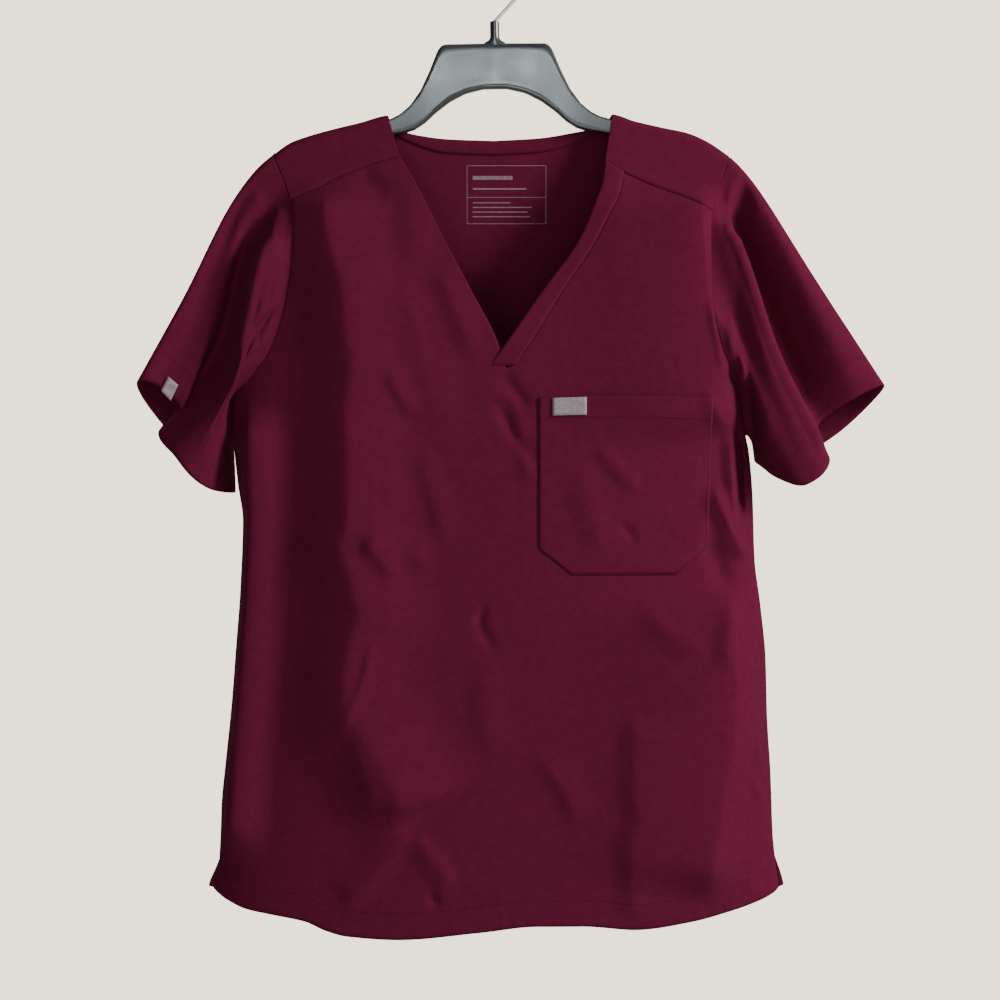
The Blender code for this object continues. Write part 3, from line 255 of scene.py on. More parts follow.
# Creases of the visible cloth: name, height, half width towards -X, towards +X, share that
# fades at each end, crest (small is sharp), path of (x, z) points
FRONT_CREASES = (
    ("long_ridge", 15.0, 62.0, 74.0, 0.05, 0.05,
     ((-145, -196), (-144, -228), (-140, -257), (-128, -291), (-125, -335), (-119, -361),
      (-125, -393), (-123, -449), (-123, -498), (-130, -514), (-121, -537), (-117, -560),
      (-110, -566), (-121, -594), (-126, -621), (-125, -663), (-113, -669), (-102, -682),
      (-92, -702), (-82, -721), (-76, -742), (-67, -753))),
    ("side_ridge", 18.0, 13.0, 40.0, 0.10, 0.20,
     ((-209, -385), (-210, -492), (-214, -560), (-219, -645), (-225, -730), (-229, -790))),
    ("thin_fold", 2.6, 6.0, 11.0, 0.25, 0.03, ((-102, -592), (-110, -629), (-118, -647),
                                                (-128, -664))),
    ("waist_slant", 4.6, 14.0, 22.0, 0.25, 0.03, ((-112, -508), (-98, -521), (-80, -541))),
    ("waist_slant_top", 3.4, 14.0, 24.0, 0.28, 0.04, ((-120, -509), (-84, -514), (-46, -530))),
    ("low_slant", 4.2, 34.0, 14.0, 0.20, 0.03, ((-64, -748), (-83, -770), (-105, -798),
                                                (-133, -817))),
    ("low_corner", 3.6, 22.0, 12.0, 0.20, 0.03, ((-68, -753), (-51, -777), (-33, -802))),
    ("fan", 3.6, 14.0, 22.0, 0.30, 0.05, ((-124, -668), (-108, -704), (-98, -742))),
    ("hem_nick", -3.4, 7.0, 8.0, 0.35, 0.1, ((-56, -803), (-46, -820))),
    ("middle_nick", -3.2, 6.0, 10.0, 0.30, 0.05, ((-8, -558), (-14, -582), (2, -604))),
    ("middle_drag", 2.0, 20.0, 30.0, 0.35, 0.2, ((-6, -600), (-10, -650), (2, -700))),
    ("chest_nick", 3.4, 10.0, 20.0, 0.30, 0.04, ((-92, -362), (-80, -384), (-68, -406))),
    ("chest_drag", 3.0, 30.0, 34.0, 0.30, 0.15, ((-84, -268), (-60, -350), (-44, -430))),
    ("chest_nick_low", 2.0, 14.0, 22.0, 0.35, 0.12, ((-66, -420), (-52, -470), (-36, -520))),
    ("shoulder_hollow", -3.0, 18.0, 16.0, 0.35, 0.3, ((-118, -190), (-106, -204), (-88, -212))),
    ("shoulder_swell", 2.4, 22.0, 30.0, 0.30, 0.2, ((-74, -190), (-70, -240), (-66, -290))),
    ("neck_drape", 2.6, 18.0, 26.0, 0.30, 0.08, ((-50, -268), (-33, -315), (-12, -358))),
    ("v_drag", -3.2, 8.0, 12.0, 0.30, 0.1, ((2, -364), (17, -382), (32, -400))),
    ("v_drag_low", -3.2, 8.0, 14.0, 0.30, 0.1, ((-1, -386), (14, -415), (36, -447))),
    ("pocket_side_drag", 2.0, 10.0, 12.0, 0.35, 0.1, ((14, -392), (24, -424), (30, -470))),
    ("belly_edge", 3.6, 20.0, 60.0, 0.12, 0.04,
     ((121, -650), (118, -696), (119, -732), (125, -742), (116, -759), (116, -788), (119, -838))),
    ("low_drag", 2.6, 16.0, 26.0, 0.30, 0.12, ((33, -688), (61, -718), (73, -756))),
    ("right_edge", 17.0, 150.0, 34.0, 0.14, 0.06,
     ((196, -540), (203, -594), (205, -636), (202, -687), (194, -730), (186, -772), (178, -820))),
    ("armhole_ridge", 17.0, 150.0, 24.0, 0.16, 0.12,
     ((176, -200), (178, -260), (184, -320), (196, -380), (202, -430))),
    ("right_face", 3.0, 20.0, 24.0, 0.25, 0.1, ((222, -640), (220, -690), (212, -760))),
    ("corner", -2.6, 9.0, 12.0, 0.30, 0.2, ((240, -770), (235, -788), (226, -806))),
    ("pucker", 3.6, 7.0, 7.0, 0.30, 0.1, ((234, -662), (224, -685), (233, -711))),
    ("pucker_arch", 3.2, 8.0, 8.0, 0.30, 0.1, ((232, -700), (221, -716), (234, -736))),
    ("side_line", 6.0, 12.0, 6.0, 0.20, 0.05, ((203, -412), (203, -453), (207, -500))),
    ("underarm_slit", -9.0, 7.0, 6.0, 0.25, 0.5, ((211, -400), (212, -440), (213, -494))),
    ("side_diagonal", 8.0, 18.0, 11.0, 0.22, 0.04, ((186, -460), (199, -493), (218, -529))),
    ("side_hollow", -4.0, 14.0, 14.0, 0.35, 0.4, ((180, -500), (190, -530), (204, -556))),
    ("side_swell", 3.6, 18.0, 16.0, 0.30, 0.12, ((206, -556), (198, -590), (196, -622))),
    ("chest_bulge", 6.0, 16.0, 18.0, 0.30, 0.2, ((188, -298), (196, -335), (207, -378))),
    ("armhole_drag", 3.0, 14.0, 10.0, 0.30, 0.1, ((178, -380), (192, -404), (204, -416))),
    ("pocket_crease", 2.4, 12.0, 14.0, 0.30, 0.08, ((84, -425), (104, -449), (128, -470))),
    ("pocket_crease_low", -2.2, 7.0, 8.0, 0.35, 0.2, ((106, -492), (122, -512))),
    ("pocket_swell", 2.2, 22.0, 22.0, 0.35, 0.2, ((70, -440), (80, -480), (96, -530))),
    ("under_pocket", 2.4, 20.0, 18.0, 0.35, 0.15, ((120, -556), (150, -590), (186, -604))),
)
BACK_CREASES = (
    ("right_blade", 11.2, 44.0, 54.0, 0.16, 0.25,
     ((-120, -215), (-112, -330), (-104, -480), (-112, -640), (-96, -800))),
    ("left_blade", 11.2, 52.0, 44.0, 0.16, 0.25,
     ((128, -215), (116, -340), (110, -500), (122, -660), (104, -810))),
    ("centre_trough", -6.4, 34.0, 34.0, 0.30, 0.5, ((6, -330), (0, -520), (10, -760))),
    ("right_hem_swell", 8.0, 26.0, 26.0, 0.30, 0.3, ((-176, -560), (-182, -690), (-186, -825))),
    ("left_hem_swell", 8.0, 26.0, 26.0, 0.30, 0.3, ((184, -560), (190, -700), (194, -825))),
    ("blade_drag", 4.2, 12.0, 26.0, 0.30, 0.15, ((60, -300), (86, -340), (104, -392))),
    ("waist_slant", 4.2, 10.0, 22.0, 0.30, 0.15, ((-40, -560), (-66, -590), (-98, -606))),
    ("low_slant", 4.5, 16.0, 20.0, 0.30, 0.15, ((30, -720), (62, -748), (84, -790))),
    ("side_slant", 4.8, 12.0, 12.0, 0.30, 0.2, ((-190, -440), (-204, -470), (-216, -510))),
    ("side_slant_left", 4.8, 12.0, 12.0, 0.30, 0.2, ((190, -450), (202, -486), (216, -520))),
    ("small_nick", -3.5, 9.0, 9.0, 0.35, 0.3, ((26, -480), (22, -496), (34, -520))),
)


# ---- curves and tables ---------------------------------------------------------------
def mix(first, second, share):
    """The value that lies at a share of the way from first to second."""
    return first + (second - first) * share


def smoothstep(low, high, value):
    """0 at low and 1 at high, with a soft start and a soft end."""
    share = np.clip((value - low) / (high - low), 0.0, 1.0)
    return share * share * (3.0 - 2.0 * share)


class Track:
    """A smooth curve through a table. Its first column is the position along it."""

    def __init__(self, rows):
        table = np.array(rows, dtype=float)
        self.keys = table[:, 0]
        self.values = table[:, 1:]
        steps = np.diff(self.values, axis=0) / np.diff(self.keys)[:, None]
        before, after = steps[:-1], steps[1:]
        same_way = before * after > 0
        total = np.where(same_way, before + after, 1.0)
        inner = np.where(same_way, 2 * before * after / total, 0.0)
        self.slopes = np.vstack([steps[:1], inner, steps[-1:]])

    def at(self, key):
        """Rows of values at an array of positions, or one row at a single one."""
        key = np.clip(np.asarray(key, dtype=float), self.keys[0], self.keys[-1])
        i = np.clip(np.searchsorted(self.keys, key, side="left") - 1, 0, len(self.keys) - 2)
        span = (self.keys[i + 1] - self.keys[i])[..., None]
        t = (key - self.keys[i])[..., None] / span
        rise = self.values[i + 1] - self.values[i]
        start = self.slopes[i] * span
        end = self.slopes[i + 1] * span
        return self.values[i] + t * (start + t * (3 * rise - 2 * start - end
                                                  + t * (start + end - 2 * rise)))

    def one(self, key):
        """The first value alone."""
        return self.at(key)[..., 0]


def edge_track(*tables):
    """One edge through several tables, each of which takes over where the last one ends."""
    tracks = [Track(table) for table in tables]

    def at(row):
        for track in tracks[:-1]:
            if row <= track.keys[-1]:
                return track.at(row)
        return tracks[-1].at(row)
    return at


# ---- the body's form -----------------------------------------------------------------
ridge_track = Track(RIDGE)
side_tracks = {-1: Track(SIDE_RIGHT_OF_WEARER), 1: Track(SIDE_LEFT_OF_WEARER)}
depth_tracks = {-1: Track(FRONT_DEPTH), 1: Track(BACK_DEPTH)}
creases_of = {-1: FRONT_CREASES, 1: BACK_CREASES}


def ridge(x):
    """Height of the shoulder line."""
    return ridge_track.one(x)


def side_x(z, hand):
    """Where the body ends to one side."""
    return side_tracks[hand].one(-np.asarray(z, dtype=float))


def crest_profile(share, crest):
    """1 on the crest and straight down to 0 at the foot; a small crest turns sharply."""
    share = np.clip(np.abs(share), 0.0, 1.0) * (1 + FOOT)
    past = np.clip((share - 1 + FOOT) / (2 * FOOT), 0.0, 1.0)
    straight = share - FOOT * past * past       # slows down to the foot and stops there
    top = math.sqrt(1 + crest * crest) - crest
    return 1 - (np.sqrt(straight * straight + crest * crest) - crest) / top


def nearest_on_path(x, z, path):
    """Signed distance from a path, plus to its +X side, and the share of its length."""
    best = np.full(x.shape, 1e9)
    signed = np.zeros(x.shape)
    along = np.zeros(x.shape)
    gone = 0.0
    for a, b in zip(path, path[1:]):
        length = math.dist(a, b)
        t = ((x - a[0]) * (b[0] - a[0]) + (z - a[1]) * (b[1] - a[1])) / length ** 2
        t = np.clip(t, 0.0, 1.0)
        away = np.hypot(x - mix(a[0], b[0], t), z - mix(a[1], b[1], t))
        cross = (b[0] - a[0]) * (z - a[1]) - (b[1] - a[1]) * (x - a[0])
        right = cross > 0 if b[1] < a[1] else cross < 0
        nearer = away < best
        best = np.where(nearer, away, best)
        signed = np.where(nearer, np.where(right, away, -away), signed)
        along = np.where(nearer, gone + t * length, along)
        gone += length
    return signed, along / gone


def smooth_path(path):
    """The same path with its corners rounded."""
    points = [np.array(p, dtype=float) for p in path]
    cut = [points[0]]
    for a, b in zip(points, points[1:]):
        cut += [mix(a, b, CORNER_CUT), mix(b, a, CORNER_CUT)]
    points = cut + [points[-1]]
    return [(p[0], p[1]) for p in points]


smooth_paths = {row: smooth_path(row[-1]) for face in (-1, 1) for row in creases_of[face]}


def crease_height(x, z, face):
    """How far all the creases of one face stand out at each point."""
    total = np.zeros(x.shape)
    for row in creases_of[face]:
        _, height, minus_width, plus_width, fade, crest, path = row
        reach = max(minus_width, plus_width)
        xs, zs = [p[0] for p in path], [p[1] for p in path]
        near = ((x > min(xs) - reach) & (x < max(xs) + reach)
                & (z > min(zs) - reach) & (z < max(zs) + reach))
        if not near.any():
            continue
        away, share = nearest_on_path(x[near], z[near], smooth_paths[row])
        width = np.where(away > 0, plus_width, minus_width)
        ends = smoothstep(0, fade, share) * smoothstep(0, fade, 1 - share)
        total[near] += height * ends * crest_profile(away / width, crest)
    return total


def body_depth(x, z, face):
    """How far a face of the body stands out from the hanger's plane."""
    drop = np.maximum(ridge(x) - z, 0.0)
    round_over = np.sqrt(np.maximum(RIDGE_RADIUS ** 2 - (RIDGE_RADIUS - drop) ** 2, 0.0))
    full = np.where(drop < RIDGE_RADIUS, round_over, depth_tracks[face].one(drop))
    held = np.minimum(full, RIDGE_RADIUS) * (1 - smoothstep(FLAT_FROM, FLAT_TO, drop))
    side = np.where(x > 0, side_x(z, 1), side_x(z, -1))
    share = np.clip(x / side, 0.0, 1.0)
    turn = (1 - share ** SIDE_POWER) ** (1 / SIDE_POWER)
    folds = crease_height(x, z, face) * (1 - smoothstep(CREASES_END, 1.0, share))
    return held + (full - held) * turn + folds * smoothstep(0, 60, drop)


def body_points(x, z, face, lift=0.0):
    """Points of a body panel, or that far outside it along the panel's normal."""
    x, z = np.broadcast_arrays(np.asarray(x, dtype=float), np.asarray(z, dtype=float))
    points = np.stack([x, face * body_depth(x, z, face), z], axis=-1)
    if np.all(np.asarray(lift) == 0.0):
        return points
    step = 1.0
    across = (body_depth(x + step, z, face) - body_depth(x - step, z, face)) / (2 * step)
    down = (body_depth(x, z + step, face) - body_depth(x, z - step, face)) / (2 * step)
    normal = np.stack([-across, np.full(x.shape, float(face)), -down], axis=-1)
    normal /= np.linalg.norm(normal, axis=-1)[..., None]
    return points + normal * np.asarray(lift)[..., None]


def panel_xz(inner, outer, share):
    """Points across a panel that keep their drop below the shoulder line."""
    x = mix(inner[0], outer[0], share)
    drop = mix(ridge(inner[0]) - inner[1], ridge(outer[0]) - outer[1], share)
    return x, ridge(x) - drop


def line_shift(inner, outer, share, line):
    """How far a row of points has to move to lie on a seam or hem line."""
    x, z = panel_xz(inner, outer, share)
    return line.one(x) - z


def column_shares(sidewards):
    """Shares across a panel, closer together towards its side."""
    even = np.linspace(0.0, 1.0, CLOSE_COLUMNS + 1)
    return mix(even, np.sin(even * math.pi / 2), sidewards * SIDE_PULL)


def close_rows(rows, underarm):
    """The table's rows with finer ones between them."""
    found = [rows[0]]
    for above, below in zip(rows, rows[1:]):
        steps = ARMHOLE_FINENESS if above < underarm else SIDE_FINENESS
        steps = max(2, round(steps * (below - above) / ROW_SPAN))
        found += [mix(above, below, (i + 1) / steps) for i in range(steps)]
    return found


# ---- panels --------------------------------------------------------------------------
FRONT_CROWDS = (2.0, 5.0)   # rows over which a front panel's columns move sidewards
BACK_CROWDS = (3.4, 6.4)    # and a back panel's
FRONT_SEAM_ROWS = 2.0   # the rows down to here bend with the forward shoulder seam
SHOULDER_SINK_ROWS = 0.16
FRONT_HEM_FROM = 6.5    # the rows from here down bend with the hem
BACK_HEM_FROM = 7.5
HAIR = 1e-6             # a lift that only makes sure that a point lies on the surface

front_hem = Track(FRONT_HEM)
back_hem = Track(BACK_HEM_LINE)
front_inner = {-1: edge_track(NECK_RIGHT_OF_WEARER, CENTRE_FRONT),
               1: edge_track(NECK_LEFT_OF_WEARER, CENTRE_FRONT)}
front_armhole = {-1: Track(ARMHOLE_RIGHT_OF_WEARER), 1: Track(ARMHOLE_LEFT_OF_WEARER)}
shoulder_seams = {hand: Track(seam) for hand, seam in SHOULDER_SEAM.items()}
back_inner = {-1: edge_track(BACK_NECK_RIGHT, CENTRE_BACK),
              1: edge_track(BACK_NECK_LEFT, CENTRE_BACK)}
back_armhole = {-1: Track(BACK_ARMHOLE_RIGHT), 1: Track(BACK_ARMHOLE_LEFT)}
front_rows = close_rows(FRONT_ROWS, UNDERARM)
back_rows = close_rows(BACK_ROWS, BACK_UNDERARM)
shoulder_steps = [mix(a, b, i / SHOULDER_FINENESS)
                  for a, b in zip(SHOULDER_STEPS, SHOULDER_STEPS[1:])
                  for i in range(SHOULDER_FINENESS)]
shoulder_steps += [SHOULDER_STEPS[-1], SHOULDER_STEPS[-1] / 2]


def outer_edge(row, hand, armhole, underarm, hem_row, hem_line):
    """A row's outer end: on the armhole, and below it on the side seam."""
    if row <= underarm:
        return armhole[hand].at(row)
    top = armhole[hand].at(underarm)[1]
    hem_x = side_x(-side_tracks[hand].keys[-1], hand)
    z = mix(top, hem_line.one(hem_x), (row - underarm) / (hem_row - underarm))
    return np.array([side_x(z, hand), z])


def vent_gap(z, hem_z):
    """How far a panel's side stands from the hanger's plane, wider at the vent."""
    return SIDE_GAP / 2 + VENT_OPEN * smoothstep(VENT_LENGTH, 0.0, z - hem_z)


def seam_sunk(x, edge):
    """How far the cloth sinks beside a seam that runs down at the edge."""
    return -SEAM_SINK * smoothstep(SEAM_WIDTH, 0.0, np.abs(edge - x))


def front_outer(row, hand):
    return outer_edge(row, hand, front_armhole, UNDERARM, HEM, front_hem)


def front_half(hand):
    """Rows of points from the middle of the front to one side."""
    seam_ends = front_inner[hand](0), front_outer(0, hand)
    hem_ends = front_inner[hand](HEM), front_outer(HEM, hand)
    grid = []
    for row in front_rows:
        inner = front_inner[hand](row)
        outer = front_outer(row, hand)
        shares = column_shares(smoothstep(*FRONT_CROWDS, row))
        x, z = panel_xz(inner, outer, shares)
        on_seam = smoothstep(FRONT_SEAM_ROWS, 0.0, row)
        on_hem = smoothstep(FRONT_HEM_FROM, HEM, row)
        z = z + line_shift(*seam_ends, shares, shoulder_seams[hand]) * on_seam
        z = z + line_shift(*hem_ends, shares, front_hem) * on_hem
        sunk = np.full(x.shape, -SEAM_SINK) * smoothstep(SHOULDER_SINK_ROWS, 0.0, row)
        if row < UNDERARM:
            sunk = np.minimum(sunk, seam_sunk(x, outer[0]))
        if hand == 1 and row < BAND_END:
            sunk = np.minimum(sunk, seam_sunk(x, inner[0]))
        points = body_points(x, z, -1, sunk + HAIR)
        if row >= UNDERARM:
            points[-1][1] = -vent_gap(points[-1][2], front_hem.one(points[-1][0]))
        grid.append(points)
    return grid


def back_outer(row, hand):
    """As on the front, but the back's corner stands out past the front's at the vent."""
    x, z = outer_edge(row, hand, back_armhole, BACK_UNDERARM, BACK_HEM, back_hem)
    spread = VENT_SPREAD * smoothstep(VENT_LENGTH, 0.0, z - back_hem.one(x))
    return np.array([x + hand * spread, z])


def shoulder_row(hand, part):
    """A row of the back between the shoulder line (part 0) and the forward seam (1)."""
    neck_x = {-1: NECK_RIGHT_OF_WEARER[0][1], 1: BAND_EDGE[0][1]}[hand]
    arm_x = front_armhole[hand].at(0)[0]
    shares = column_shares(0.0)
    seam_x = mix(neck_x, arm_x, shares)
    seam_drop = ridge(seam_x) - shoulder_seams[hand].one(seam_x) + TUCK * 0.6
    x = mix(mix(NECK_TOP[hand], ARMHOLE_TOP[hand], shares), seam_x, part)
    return body_points(x, ridge(x) - seam_drop * part, -1)


def back_row(hand, row):
    """A row of the back below the shoulder line."""
    inner = back_inner[hand](row)
    outer = back_outer(row, hand)
    hem_ends = back_inner[hand](BACK_HEM), back_outer(BACK_HEM, hand)
    shares = column_shares(smoothstep(*BACK_CROWDS, row))
    x, z = panel_xz(inner, outer, shares)
    on_hem = smoothstep(BACK_HEM_FROM, BACK_HEM, row)
    z = z + line_shift(*hem_ends, shares, back_hem) * on_hem
    sunk = seam_sunk(x, outer[0]) if row < BACK_UNDERARM else np.zeros(x.shape)
    points = body_points(x, z, 1, sunk + HAIR)
    if row >= BACK_UNDERARM:
        points[-1][1] = vent_gap(points[-1][2], back_hem.one(points[-1][0]))
    return points


def back_half(hand):
    """Rows of points from the forward seam over the shoulder and down to the back's hem."""
    shoulder = [shoulder_row(hand, part) for part in shoulder_steps]
    x = mix(NECK_TOP[hand], ARMHOLE_TOP[hand], column_shares(0.0))
    crest = np.stack([x, np.zeros(x.shape), ridge(x)], axis=-1)
    return shoulder + [crest] + [back_row(hand, row) for row in back_rows]


front_grids = {hand: front_half(hand) for hand in (-1, 1)}
back_grids = {hand: back_half(hand) for hand in (-1, 1)}


# ---- making pieces -------------------------------------------------------------------
def deselect():
    """Leaves nothing selected, so that an operator acts on the new piece alone."""
    bpy.ops.object.select_all(action="DESELECT")


def finish_piece(piece, material, replaced=()):
    """Puts a piece on the part's one body, in place of the solids that it dresses."""
    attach(piece, "root")
    if replaced:
        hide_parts(*replaced)
    piece.data.materials.clear()
    piece.data.materials.append(material)
    return piece


def made_of(shape, name):
    """The object that a finished mesh makes."""
    data = bpy.data.meshes.new(name)
    shape.to_mesh(data)
    shape.free()
    piece = bpy.data.objects.new(name, data)
    bpy.context.scene.collection.objects.link(piece)
    return piece


def give_wall(piece, name, thickness):
    wall = piece.modifiers.new(name, "SOLIDIFY")
    wall.thickness = thickness * MM
    wall.offset = 0.0
    wall.use_even_offset = False
    return piece


def shade_smooth(piece):
    piece.data.polygons.foreach_set("use_smooth", [True] * len(piece.data.polygons))
    piece.data.update()


def cloth_sheet(name, grids, closed=False, thickness=SHELL):
    """A cloth wall through grids of points, with the cloth's own flat measure as its UV map."""
    shape = bmesh.new()
    layer = shape.loops.layers.uv.new("cloth")
    for grid in grids:
        points = np.array([np.asarray(row) for row in grid]) * MM
        if closed:
            points = np.concatenate([points, points[:, :1]], axis=1)
        across = np.linalg.norm(np.diff(points, axis=1), axis=2)
        across = np.concatenate([np.zeros((len(points), 1)), np.cumsum(across, axis=1)], axis=1)
        along = np.linalg.norm(np.diff(points, axis=0), axis=2)
        along = np.concatenate([np.zeros((1, points.shape[1])), np.cumsum(along, axis=0)], axis=0)
        count = points.shape[1] - 1 if closed else points.shape[1]
        verts = [[shape.verts.new(p) for p in row[:count]] for row in points]
        for r in range(len(points) - 1):
            for c in range(points.shape[1] - 1):
                d = (c + 1) % count
                corners = ((r, c, c), (r, c + 1, d), (r + 1, c + 1, d), (r + 1, c, c))
                face = shape.faces.new([verts[i][k] for i, _, k in corners])
                for loop, (i, j, _) in zip(face.loops, corners):
                    loop[layer].uv = (across[i, j], along[i, j])
    bmesh.ops.remove_doubles(shape, verts=shape.verts, dist=MERGE * MM)
    bmesh.ops.recalc_face_normals(shape, faces=shape.faces)
    piece = made_of(shape, name)
    shade_smooth(piece)
    return give_wall(piece, "cloth_wall", thickness)


# ---- sleeves -------------------------------------------------------------------------
def unit(vector):
    return vector / np.linalg.norm(vector)


def nearest_row(rows, wanted):
    return min(range(len(rows)), key=lambda i: abs(rows[i] - wanted))


def armhole_ring(front_grid, back_grid):
    """Points round the armhole from its top over the front, each with its way outwards."""
    shoulder_count = len(shoulder_steps)
    underarm_front = nearest_row(front_rows, UNDERARM)
    underarm_back = shoulder_count + 1 + nearest_row(back_rows, BACK_UNDERARM)
    rows = [back_grid[shoulder_count]]
    rows += back_grid[shoulder_count - 1:0:-1]
    rows += front_grid[1:underarm_front]
    ring = [(row[-1], unit(row[-1] - row[-2])) for row in rows]
    underarm = (front_grid[underarm_front][-1] + back_grid[underarm_back][-1]) / 2
    underarm_index = len(ring)
    ring.append((underarm, np.array([math.copysign(1.0, underarm[0]), 0.0, 0.0])))
    for row in back_grid[underarm_back - 1:shoulder_count:-1]:
        ring.append((row[-1], unit(row[-1] - row[-2])))
    return ring, underarm_index


def square_to(direction, line):
    """The part of a direction that is square to a line."""
    line = unit(line)
    return unit(direction - line * direction.dot(line))


def ring_places(ring, underarm_index):
    """Place of each point: 0 at the armhole's top, 1 at the underarm, and on to 2."""
    count = len(ring)
    steps = [np.linalg.norm(ring[(i + 1) % count] - ring[i]) for i in range(count)]
    front_length = sum(steps[:underarm_index])
    back_length = sum(steps[underarm_index:])
    places = [0.0]
    for i in range(1, count):
        places.append(places[-1] + steps[i - 1] / (front_length if i <= underarm_index
                                                   else back_length))
    return places


def round_curve(keys, points, place):
    """A smooth closed curve through points at their places round the sleeve."""
    count = len(keys)
    i = max(k for k in range(count) if keys[k] <= place)
    start = keys[i]
    end = keys[(i + 1) % count] + (2.0 if i == count - 1 else 0.0)
    t = (place - start) / (end - start)
    before, a, b, after = (points[(i + k) % count] for k in (-1, 0, 1, 2))
    key_before = keys[(i - 1) % count] - (2.0 if i == 0 else 0.0)
    key_after = keys[(i + 2) % count] + (2.0 if i + 2 >= count else 0.0)
    slope_a = (b - before) / (end - key_before) * (end - start)
    slope_b = (after - a) / (key_after - start) * (end - start)
    return (a * (2 * t ** 3 - 3 * t ** 2 + 1) + slope_a * (t ** 3 - 2 * t ** 2 + t)
            + b * (3 * t ** 2 - 2 * t ** 3) + slope_b * (t ** 3 - t ** 2))


def bump(share, peak):
    """0 at both ends and 1 at the peak."""
    power = 1 / peak - 1
    return share * (1 - share) ** power / (peak * (1 - peak) ** power)


class Sleeve:
    """One sleeve as rings from the armhole to the cuff."""

    def __init__(self, hand, guides, pinches):
        self.hand = hand
        self.pinches = pinches
        ring, underarm_index = armhole_ring(front_grids[hand], back_grids[hand])
        self.ring = [point for point, _ in ring]
        self.outward = [direction for _, direction in ring]
        self.places = ring_places(self.ring, underarm_index)
        self.keys = [guide[1] for guide in guides]
        self.starts = [self.on_armhole(key) for key in self.keys]
        self.tracks = [Track([(0.0, *start), (UPPER, *upper), (LOWER, *lower), (1.0, *cuff)])
                       for start, (_, _, upper, lower, cuff) in zip(self.starts, guides)]

    def on_armhole(self, place):
        """The armhole's point at a place between its own points."""
        i = max(k for k in range(len(self.places)) if self.places[k] <= place)
        following = (i + 1) % len(self.places)
        end = self.places[following] if following else 2.0
        return mix(self.ring[i], self.ring[following],
                   (place - self.places[i]) / (end - self.places[i]))

    def grid(self):
        """Rings of points that start on the armhole and run through the guides."""
        shares = [(i / (CUFF_RINGS - 1)) ** RING_CROWDING for i in range(CUFF_RINGS)]
        slips = [self.on_armhole(place) - round_curve(self.keys, self.starts, place)
                 for place in self.places]
        rings = []
        for share in shares:
            guides = [track.at(share) for track in self.tracks]
            rings.append(np.array([round_curve(self.keys, guides, place) + slip * (1 - share) ** 3
                                   for place, slip in zip(self.places, slips)]))
        count = len(self.ring)
        up = np.array([self.hand * CAP_DIRECTION.x, 0.0, CAP_DIRECTION.z])
        for i, place in enumerate(self.places):
            line = self.ring[(i + 1) % count] - self.ring[i - 1]
            outward = square_to(self.outward[i], line)
            under = smoothstep(0.6, 0.2, abs(place - 1.0))
            off_body = unit(np.array([self.ring[i][0] - self.hand * UNDERARM_CENTRE,
                                      self.ring[i][1], 0.0]))
            crown = CAP_STAND[self.hand] * smoothstep(0.85, 1.0, abs(place - 1.0))
            for share, points in zip(shares, rings):
                lap = UNDERARM_LAP * (1 - share) ** 3
                stand = UNDERARM_STAND * bump(share, STAND_PEAK)
                points[i] += off_body * under * (stand + lap)
                points[i] += up * crown * bump(share, CAP_PEAK)
            inwards = np.cross(outward, unit(line))
            centre = np.array([self.ring[i][0], 0.0, self.ring[i][2]])
            if np.dot(inwards, centre - self.ring[i]) < 0:
                inwards = -inwards
            rings[0][i] = self.ring[i] - outward * TUCK + inwards * TUCK_DROP
        self.pinch(rings, shares)
        return rings

    def pinch(self, rings, shares):
        """Moves the cloth in and out along the small folds."""
        normals = []
        for r, points in enumerate(rings):
            above = rings[max(r - 1, 0)]
            below = rings[min(r + 1, len(rings) - 1)]
            around = np.roll(points, -1, axis=0) - np.roll(points, 1, axis=0)
            normal = np.cross(around, below - above)
            normal /= np.maximum(np.linalg.norm(normal, axis=1), 1e-6)[:, None]
            normals.append(normal)
        sign = np.sign(sum(float((n * (p - p.mean(axis=0))).sum())
                           for n, p in zip(normals, rings)))
        places = np.array(self.places)
        moves = [np.zeros(len(places)) for _ in rings]
        for _, height, width, fade, crest, path in self.pinches:
            falling = [(place, -share) for place, share in path]
            for r, share in enumerate(shares):
                away, along = nearest_on_path(places, np.full(places.shape, -share), falling)
                ends = smoothstep(0, fade, along) * smoothstep(0, fade, 1 - along)
                moves[r] += height * ends * crest_profile(away / width, crest)
        for points, normal, move in zip(rings, normals, moves):
            points += normal * (sign * move)[:, None]


# Folds of the sleeves: name, height, half width, fade, crest, path of (place round the
# sleeve, share of its length) points
RIGHT_PINCHES = (
    ("outer_crease", 2.5, 0.06, 0.06, 0.03, ((0.10, 0.10), (0.12, 0.35), (0.12, 0.70),
                                              (0.12, 1.0))),
    ("wall_top", 4.0, 0.09, 0.10, 0.08, ((0.20, 0.04), (0.34, 0.20), (0.38, 0.36),
                                         (0.38, 0.62))),
    ("armpit_a", 4.0, 0.06, 0.30, 0.06, ((0.50, 0.06), (0.55, 0.20), (0.53, 0.40))),
    ("armpit_b", -3.4, 0.05, 0.30, 0.1, ((0.57, 0.06), (0.62, 0.18), (0.60, 0.36))),
    ("armpit_c", 3.0, 0.05, 0.30, 0.06, ((0.66, 0.04), (0.70, 0.16), (0.66, 0.34))),
    ("flap_swell", 4.0, 0.16, 0.30, 0.3, ((0.62, 0.42), (0.60, 0.70), (0.58, 0.96))),
)
